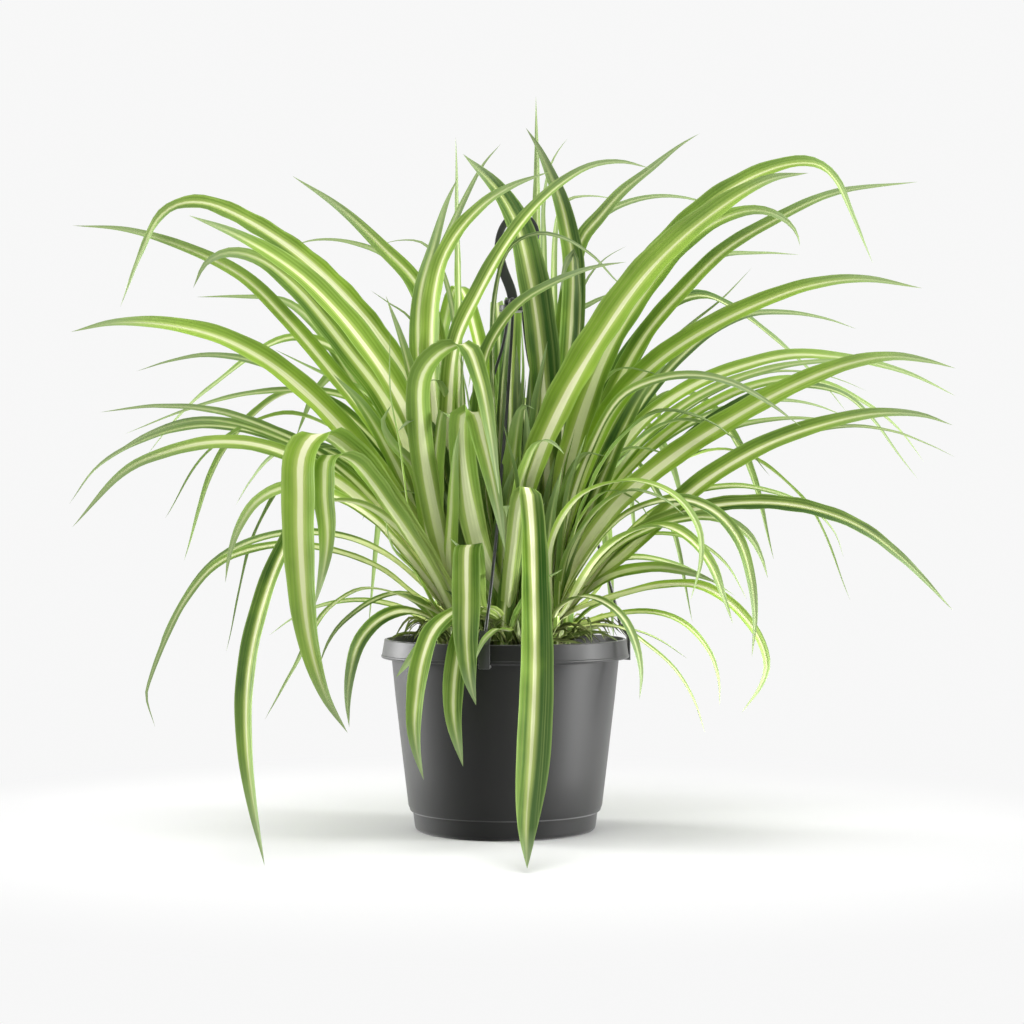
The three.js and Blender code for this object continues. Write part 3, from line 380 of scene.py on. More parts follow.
@dataclass(frozen=True)
class MouldedPolypropylene:
    """Injection-moulded polypropylene: a fine satin skin with faint flow marks and dust."""

    name: str
    colour: str
    worn: str
    roughness: float
    specular: float
    dust: float
    grain: float = 0.6
    flow: Triple = (38.0, 38.0, 9.0)
    marks: Ramp = (0.45, 0.8, 0.0, 0.5)

    def material(self) -> Material:
        """Build the moulded plastic."""
        material, add = blank_material(self.name)
        place = add("TexCoord", out="Object")
        skin = add("TexNoise", {"Vector": place, "Scale": 1 / (self.grain * MM), "Detail": 2.0})
        drawn = add("Mapping", {"Vector": place, "Scale": self.flow})
        flow = add("TexNoise", {"Vector": drawn, "Scale": 1.0, "Detail": 4.0})
        marks = add("MapRange", (flow, *self.marks), **SMOOTH)
        gloss = (flow, 0.2, 0.8, self.roughness - 0.04, self.roughness + 0.08)
        surface = {
            "Base Color": add("Mix", {0: marks, 6: self.colour, 7: self.worn}, **MIXED),
            "Roughness": add("MapRange", gloss),
            "Normal": add("Bump", {"Height": skin, "Strength": 0.12, "Distance": 0.05 * MM}),
            "IOR": 1.49,
            "Specular IOR Level": self.specular,
            "Sheen Weight": self.dust,
            "Sheen Roughness": 0.45,
        }
        close_material(add, surface)
        return material


@dataclass(frozen=True)
class PeatSoil:
    """Peat-based potting soil: dark, matt and crumbly, with lighter fibres."""

    dark: str = "#1a120b"
    light: str = "#4a3826"
    crumb: float = 3.0
    fibre_scale: float = 380.0
    fibres: Span = (0.42, 0.75)

    def material(self) -> Material:
        """Build the crumbly soil."""
        material, add = blank_material("potting_soil_peat")
        place = add("TexCoord", out="Object")
        lumps = {"Vector": place, "Scale": 1 / (self.crumb * MM)}
        crumbs = add("TexVoronoi", lumps, out="Distance")
        fibres = add("TexNoise", {"Vector": place, "Scale": self.fibre_scale, "Detail": 5.0})
        lit = add("MapRange", (fibres, *self.fibres))
        colour = add("Mix", {0: lit, 6: self.dark, 7: self.light}, **MIXED)
        relief = add("Math", (crumbs, fibres), operation="ADD")
        bump = add("Bump", {"Height": relief, "Strength": 0.9, "Distance": 1.2 * MM})
        close_material(add, {"Base Color": colour, "Roughness": 0.95, "Normal": bump})
        return material


@dataclass(frozen=True)
class StudioFloor:
    """Matt white seamless paper, which fades into the bright room far from the plant."""

    paper: str = "#dfdfdf"
    roughness: float = 0.9
    specular: float = 0.1
    fade: Span = (0.13, 0.5)

    def material(self) -> Material:
        """Build the floor's paper."""
        material, add = blank_material("seamless_paper_matt")
        place = add("TexCoord", out="Object")
        away = add("VectorMath", (place,), out="Value", operation="LENGTH")
        fade = add("MapRange", (away, *self.fade), **SMOOTH)
        surface = {"Base Color": self.paper, "Roughness": self.roughness}
        paper = add("BsdfPrincipled", surface | {"Specular IOR Level": self.specular})
        light = add("Emission", ((ROOM_LIGHT,) * 3 + (1,), 1.0))
        add("OutputMaterial", {"Surface": add("MixShader", (fade, paper, light))})
        return material


# ---------- shapes that several pieces share ----------


def smooth_share(value: float, low: float, high: float) -> float:
    """Rise smoothly from 0 at `low` to 1 at `high`."""
    share = min(max((value - low) / (high - low), 0.0), 1.0)
    return share * share * (3 - 2 * share)


def spread(index: int, kind: int) -> float:
    """Give an even spread of values in 0..1, a different one for each kind."""
    return (0.5 + (index + 1) * SPREAD_STEPS[kind]) % 1


def between(low: float, high: float, share: float) -> float:
    """Give the value at a share of the way from `low` to `high`."""
    return low + (high - low) * share


def polar(radius: float, angle: float, up: float = 0.0) -> Vector:
    """Find the point at a radius and an angle about the upright axis."""
    return Vector((radius * math.cos(angle), radius * math.sin(angle), up))


def scene_object(name: str, data: bpy.types.ID) -> bpy.types.Object:
    """Put data into the scene as an object."""
    thing = bpy.data.objects.new(name, data)
    bpy.context.scene.collection.objects.link(thing)
    return thing


def mesh_data(mesh: Mesh, name: str) -> bpy.types.Mesh:
    """Write a mesh out as data, and free it."""
    data = bpy.data.meshes.new(name)
    mesh.to_mesh(data)
    mesh.free()
    return data


def append_mesh(whole: Mesh, part: Mesh) -> None:
    """Add a finished part to a mesh, and free the part."""
    data = mesh_data(part, "part")
    whole.from_mesh(data)
    bpy.data.meshes.remove(data)


def finish_piece(
    mesh: Mesh,
    name: str,
    material: Material,
    node: str | None = None,
    crease: float = 40.0,
) -> None:
    """Turn a finished mesh into a piece of the pot's one body, at the origin.

    Args:
        mesh: The mesh, which is freed.
        name: The piece's name.
        material: Its material.
        node: The plain solid that it takes the place of, if any.
        crease: The angle in degrees past which an edge shades sharp.
    """
    bmesh.ops.recalc_face_normals(mesh, faces=mesh.faces)
    data = mesh_data(mesh, name)
    data.shade_smooth()
    data.set_sharp_from_angle(angle=math.radians(crease))
    data.materials.append(material)
    piece = scene_object(name, data)
    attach(piece, BODY)
    if node:
        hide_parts(node)
    LOG.info("%s: %d faces", name, len(data.polygons))


def spun(profile: Profile, sides: int) -> Mesh:
    """Spin a profile of (radius, height) pairs about the upright axis.

    Args:
        profile: The pairs in millimetres, starting and ending on the axis.
        sides: Faces round the axis.

    Returns:
        The closed mesh.
    """
    mesh = bmesh.new()
    verts = [mesh.verts.new((radius * MM, 0, height * MM)) for radius, height in profile]
    edges = [mesh.edges.new(pair) for pair in zip(verts, verts[1:])]
    turn = {"cent": (0, 0, 0), "axis": (0, 0, 1), "angle": math.tau}
    bmesh.ops.spin(mesh, geom=verts + edges, steps=sides, use_merge=True, **turn)
    bmesh.ops.remove_doubles(mesh, verts=mesh.verts, dist=SEAM_REACH)
    bmesh.ops.recalc_face_normals(mesh, faces=mesh.faces)
    return mesh


def extrude(mesh: Mesh, way: Triple) -> None:
    """Extrude all faces of a flat mesh by a way in metres."""
    raised = bmesh.ops.extrude_face_region(mesh, geom=mesh.faces[:])["geom"]
    verts = [item for item in raised if isinstance(item, bmesh.types.BMVert)]
    bmesh.ops.translate(mesh, verts=verts, vec=way)


def round_edges(mesh: Mesh, edges: list[bmesh.types.BMEdge], radius: float) -> None:
    """Round some edges of a mesh."""
    size = {"offset": radius * MM, "segments": 2, "profile": 0.5, "clamp_overlap": True}
    bmesh.ops.bevel(mesh, geom=edges, affect="EDGES", material=-1, **size)


def cut_away(mesh: Mesh, cutter: Mesh) -> None:
    """Cut one closed mesh out of another.

    Args:
        mesh: What is cut; it holds the result.
        cutter: What is taken away; it is freed.
    """
    body, tool = bpy.data.meshes.new("body"), mesh_data(cutter, "tool")
    mesh.to_mesh(body)
    things = [scene_object(data.name, data) for data in (body, tool)]
    cut = things[0].modifiers.new("cut", "BOOLEAN")
    cut.operation, cut.solver, cut.object = "DIFFERENCE", "EXACT", things[1]
    drawn = things[0].evaluated_get(bpy.context.evaluated_depsgraph_get())
    result = bpy.data.meshes.new_from_object(drawn)
    mesh.clear()
    mesh.from_mesh(result)
    for thing in things:
        bpy.data.objects.remove(thing)
    for data in (body, tool, result):
        bpy.data.meshes.remove(data)


@dataclass(frozen=True)
class Eye:
    """Where the photograph was taken from: level, in front of the pot."""

    across: float = 4.6
    up: float = 217.6
    distance: float = 1638.0
    lens: float = 84.0
    sensor: float = 36.0

    def seen(self, across: float, up: float, depth: float) -> Vector:
        """Find the point at a depth on the line of sight through (across, up).

        Args:
            across: Place on the plane through the pot's axis, to the right.
            up: Place on that plane, upwards.
            depth: How far the point lies in front of that plane.

        Returns:
            The point.
        """
        share = 1 - depth / self.distance
        right = self.across + (across - self.across) * share
        return Vector((right, -depth, self.up + (up - self.up) * share))

    def sight_of(self, point: Vector) -> Vector:
        """Find where a point is seen on the plane through the pot's axis."""
        share = 1 + point.y / self.distance
        right = self.across + (point.x - self.across) / share
        return Vector((right, self.up + (point.z - self.up) / share))


class Route:
    """A smooth curve through points, walked by shares of its length."""

    def __init__(self, points: list[Vector], fine: int = 20) -> None:
        """Walk the centripetal curve once.

        Args:
            points: What the curve passes through.
            fine: Steps between two of them.
        """
        self.walked = [points[0].copy()]
        ends = [2 * points[0] - points[1], *points, 2 * points[-1] - points[-2]]
        for before, start, stop, after in zip(ends, ends[1:], ends[2:], ends[3:]):
            first = math.sqrt((start - before).length)
            middle = math.sqrt((stop - start).length)
            last = math.sqrt((after - stop).length)
            step = (stop - start) / middle
            leaving = (start - before) / first - (stop - before) / (first + middle) + step
            arriving = step - (after - start) / (middle + last) + (after - stop) / last
            leaving, arriving = leaving * middle, arriving * middle
            for i in range(1, fine + 1):
                t = i / fine
                self.walked.append(
                    start
                    + leaving * t
                    + (3 * (stop - start) - 2 * leaving - arriving) * t**2
                    + (2 * (start - stop) + leaving + arriving) * t**3
                )
        self.lengths = [0.0]
        for start, stop in zip(self.walked, self.walked[1:]):
            self.lengths.append(self.lengths[-1] + (stop - start).length)

    @property
    def length(self) -> float:
        """The whole length."""
        return self.lengths[-1]

    def at(self, share: float) -> Vector:
        """Find the point at a share of the length."""
        wanted = min(max(share, 0.0), 1.0) * self.length
        i = min(max(bisect_left(self.lengths, wanted), 1), len(self.lengths) - 1)
        low, high = self.lengths[i - 1], self.lengths[i]
        return self.walked[i - 1].lerp(self.walked[i], (wanted - low) / (high - low))

    def heading(self, share: float, reach: float = 0.004) -> Vector:
        """Find the direction at a share of the length."""
        return (self.at(share + reach) - self.at(share - reach)).normalized()


@dataclass(frozen=True)
class Strip:
    """A rectangle of the texture, in shares of its side."""

    left: float
    low: float
    wide: float
    high: float

    def at(self, across: float, along: float) -> Span:
        """Find a place in the rectangle."""
        return self.left + self.wide * across, self.low + self.high * along


class Skin:
    """A grid wrapped round a section: columns go round it and rows along it."""

    def __init__(
        self, mesh: Mesh, around: int, rings: int, strip: Strip | None = None
    ) -> None:
        """Lay the flat grid.

        Args:
            mesh: The mesh that it joins.
            around: Faces round the section.
            rings: Faces along the path.
            strip: The part of the texture that it is given.
        """
        self.mesh = mesh
        verts = bmesh.ops.create_grid(mesh, x_segments=around, y_segments=rings, size=1.0)["verts"]
        self.cells = [((v.co.x + 1) / 2, round((v.co.y + 1) * rings / 2), v) for v in verts]
        if strip is None:
            return
        layer = mesh.loops.layers.uv.active
        faces = {face for vert in verts for face in vert.link_faces}
        for face in faces:
            for loop in face.loops:
                place = loop.vert.co
                loop[layer].uv = strip.at((place.x + 1) / 2, (place.y + 1) / 2)
        for method, side in (("FIXED", -1), ("ALTERNATE", 1)):
            half = [face for face in faces if face.calc_center_median().x * side > 0]
            bmesh.ops.triangulate(mesh, faces=half, quad_method=method)
            faces.difference_update(half)

    def close(self) -> None:
        """Join the seam, and fill the two ends where they are still open."""
        verts = [vert for _, _, vert in self.cells]
        bmesh.ops.remove_doubles(self.mesh, verts=verts, dist=SEAM_REACH)
        kept = [vert for vert in verts if vert.is_valid]
        open_edges = {edge for vert in kept for edge in vert.link_edges if edge.is_boundary}
        if open_edges:
            bmesh.ops.holes_fill(self.mesh, edges=list(open_edges), sides=0)


@dataclass(frozen=True)
class StripAtlas:
    """Lays the skins of many leaves side by side in one texture."""

    gap: float = 1.5
    growth: float = 1.03

    def lay(self, sizes: list[Span]) -> list[Strip]:
        """Give every skin its own strip.

        Args:
            sizes: Each skin's girth and length in millimetres.

        Returns:
            The strips, in the same order.
        """
        side = math.sqrt(sum(girth * length for girth, length in sizes))
        while True:
            corners, filled = self._shelve(sizes, side)
            if filled <= side:
                return [
                    Strip(x / side, y / side, girth / side, length / side)
                    for (x, y), (girth, length) in zip(corners, sizes)
                ]
            side *= self.growth

    def _shelve(self, sizes: list[Span], side: float) -> tuple[list[Span], float]:
        """Stand the skins on shelves of one width, the longest first.

        Args:
            sizes: Each skin's girth and length.
            side: The shelves' width.

        Returns:
            Each skin's lower left corner, and the height that all shelves need.
        """
        corners = [(0.0, 0.0)] * len(sizes)
        across, low, shelf = self.gap, self.gap, 0.0
        for index in sorted(range(len(sizes)), key=lambda i: -sizes[i][1]):
            girth, length = sizes[index]
            if across + girth + self.gap > side:
                across, low, shelf = self.gap, low + shelf + self.gap, 0.0
            corners[index] = (across, low)
            across += girth + self.gap
            shelf = max(shelf, length)
        return corners, low + shelf + self.gap


# ---------- leaves ----------


@dataclass(eq=False)
class Blade:
    """One leaf: a channelled ribbon, thick along the midrib, with waved margins and a point."""

    points: list[Vector]
    width: float
    turn: float
    draw: random.Random
    base_width: float = 5.0
    base_share: float = 0.45
    widest_at: float = 0.4
    taper: float = 2.4
    thickness: Span = (0.8, 0.45)
    thickest: float = 0.8
    thinning: float = 0.6
    channel: Span = (0.5, 0.34)
    channel_reach: Span = (0.02, 0.35)
    channel_curve: float = 1.35
    free_height: float = 2.2
    sunk: float = 9.0
    around: int = 16
    ring_step: float = 6.0
    tone_range: Span = (-0.05, 0.82)
    stripe_range: Span = (0.8, 1.3)
    slim_widths: Span = (6.0, 15.0)
    slim_lift: float = 0.12
    slim_stripe: float = 1.5
    deep_stripe: float = 0.6
    wave_lengths: Span = (24.0, 44.0)
    wave_heights: Span = (0.3, 1.0)
    waved_width: float = 20.0
    twist_limit: float = 7.0
    twist_reach: Span = (0.1, 0.5)
    twist_rate: float = 2.5
    bend_reach: float = 9.0
    bend_angles: Span = (0.2, 0.8)
    bend_flat: float = 0.8
    girth: float = 2.1
    least_half: float = 0.5

    def __post_init__(self) -> None:
        """Lift the points clear of the floor, and draw what differs from leaf to leaf."""
        for point in self.points:
            point.z = max(point.z, self.free_height)
        self.route = Route(self.points)
        self.rings = max(round(self.route.length / self.ring_step), 8)
        self.side = self._side()
        slim = 1 - smooth_share(self.width, *self.slim_widths)
        self.tone = min(self.draw.uniform(*self.tone_range) + self.slim_lift * slim, 1.0)
        self.stripe = self.draw.uniform(*self.stripe_range) * between(1, self.slim_stripe, slim)
        self.stripe *= between(self.deep_stripe, 1, smooth_share(self.tone, 0, 0.5))
        self.seed = self.draw.random()
        self.phases = [self.draw.uniform(0, math.tau) for _ in range(3)]
        self.wave_length = self.draw.uniform(*self.wave_lengths)
        height = min(self.width / self.waved_width, 1.0)
        self.wave_height = height * self.draw.uniform(*self.wave_heights)
        self.twist = self.draw.uniform(-self.twist_limit, self.twist_limit)

    def _side(self) -> Vector:
        """Find the level direction across the leaf, from where it reaches furthest."""
        flat = [Vector((p.x - self.points[0].x, p.y - self.points[0].y, 0)) for p in self.points]
        out = max(flat, key=lambda v: v.length).normalized()
        return Vector((out.y, -out.x, 0))

    @property
    def skin_size(self) -> Span:
        """Girth and length of the leaf's skin, for the texture."""
        return self.girth * self.width, self.route.length + self.sunk

    def half_width(self, share: float) -> float:
        """Find half the leaf's width at a share of its length."""
        base = min(max(self.base_width, self.base_share * self.width), self.width)
        if share < self.widest_at:
            return between(base, self.width, smooth_share(share, 0, self.widest_at)) / 2
        along = (share - self.widest_at) / (1 - self.widest_at)
        return self.width / 2 * (1 - along**self.taper)

    def _frame(self, share: float) -> tuple[Vector, Vector, Vector]:
        """Find the middle, the direction across and the upper side's direction at a share."""
        heading = self.route.heading(share)
        level = (self.side - heading * self.side.dot(heading)).normalized()
        upper = level.cross(heading)
        sway = self.twist * math.sin(self.phases[2] + self.twist_rate * share)
        sway *= smooth_share(share, *self.twist_reach)
        angle = math.radians(self.turn + sway) * (1 if self.side.y < 0 else -1)
        normal = upper * math.cos(angle) + level * math.sin(angle)
        return self.route.at(share), heading.cross(normal), normal

    def grow(self, mesh: Mesh, strip: Strip) -> None:
        """Wrap the leaf's skin round its route.

        Args:
            mesh: The piece's mesh, with its texture and attribute layers made.
            strip: The leaf's part of the texture.
        """
        skin = Skin(mesh, self.around, self.rings + 1, strip)
        layers = [mesh.verts.layers.float[name] for name in BLADE_ATTRIBUTES]
        shares = [0.0, *(i / self.rings for i in range(self.rings + 1))]
        frames = [self._frame(share) for share in shares]
        frames[0] = (frames[1][0] - Vector((0, 0, self.sunk)), *frames[1][1:])
        for round_share, ring, vert in skin.cells:
            across, face = self._across(round_share)
            share = shares[ring]
            half = 0.0 if ring == self.rings + 1 else self.half_width(share)
            middle, sideways, normal = frames[ring]
            rise = self._rise(share, across, half) + face * self._thick(share, across, half) / 2
            place = middle + sideways * (across * half) + normal * rise
            if ring in (0, self.rings + 1):
                place = middle
            vert.co = place * MM
            own = (self.stripe, self.tone, self.seed, 0.5 - face / 2)
            for layer, value in zip(layers, (across, share, max(half, self.least_half), *own)):
                vert[layer] = value
        skin.close()

    @staticmethod
    def _across(round_share: float) -> Span:
        """Turn a share of the way round into a place across and the face it lies on.

        Args:
            round_share: 0 to a half is the upper face and a half to 1 the under face.

        Returns:
            The place from -1 to 1, and 1 above, -1 below and 0 at the margins.
        """
        across = 4 * round_share - 1 if round_share < 0.5 else 3 - 4 * round_share
        if abs(across) > 1 - ROUND_OFF:
            return math.copysign(1.0, across), 0.0
        return across, 1.0 if round_share < 0.5 else -1.0

    def _rise(self, share: float, across: float, half: float) -> float:
        """Find how far the channelled section rises over the midrib, with its waved margins."""
        depth = between(*self.channel, smooth_share(share, *self.channel_reach))
        depth *= self._fold_left(share)
        phase = self.phases[0 if across < 0 else 1]
        wave = math.sin(phase + math.tau * share * self.route.length / self.wave_length)
        waved = self.wave_height * wave * math.sin(math.pi * share) * across**2
        return half * depth * abs(across) ** self.channel_curve + waved

    @lru_cache(maxsize=None)
    def _fold_left(self, share: float) -> float:
        """Find how much of the channel is left where the leaf bends over and flattens."""
        reach = self.bend_reach / self.route.length
        before = self.route.at(share) - self.route.at(share - reach)
        after = self.route.at(share + reach) - self.route.at(share)
        bend = before.angle(after, 0.0)
        return 1 - self.bend_flat * smooth_share(bend, *self.bend_angles)

    def _thick(self, share: float, across: float, half: float) -> float:
        """Find the section's thickness, which closes to nothing at the margins."""
        full = min(between(*self.thickness, share), self.thickest * half)
        return full * (1 - across**2) ** self.thinning


def build_leaves(
    blades: list[Blade], name: str, material: Material, node: str | None = None
) -> None:
    """Build leaves as one piece.

    Args:
        blades: The leaves.
        name: The piece's name.
        material: Their material.
        node: The plain solid that they take the place of, if any.
    """
    mesh = bmesh.new()
    mesh.loops.layers.uv.new(TEXTURE_MAP)
    for attribute in BLADE_ATTRIBUTES:
        mesh.verts.layers.float.new(attribute)
    strips = StripAtlas().lay([blade.skin_size for blade in blades])
    for blade, strip in zip(blades, strips):
        blade.grow(mesh, strip)
    finish_piece(mesh, name, material, node, crease=70.0)


@dataclass(frozen=True)
class PlacedLeaf:
    """A leaf that was placed one by one, as the photograph shows it.

    Attributes:
        rosette: The rosette that it grows from.
        reach: How far its tip reaches towards the front.
        width: Its full width.
        turn: How far the blade turns its upper side to the front, in degrees.
        line: The points that its middle passes from base to tip, as across, up, seen from the
            photograph's eye.
        tone: How bright its green is, 0 for the deepest, or None for a drawn one; the low tones of
            leaves deep in the plant's middle are partly painted shade.
        widest_at: The share of its length where it is widest.
        early: How early it reaches out; 1 is steadily.
    """

    rosette: str
    reach: float
    width: float
    turn: float
    line: tuple[float, ...]
    tone: float | None = None
    widest_at: float = Blade.widest_at
    early: float = 1.0

    def points(self) -> list[Vector]:
        """Pair up the line's points."""
        return [Vector(pair) for pair in zip(self.line[::2], self.line[1::2])]
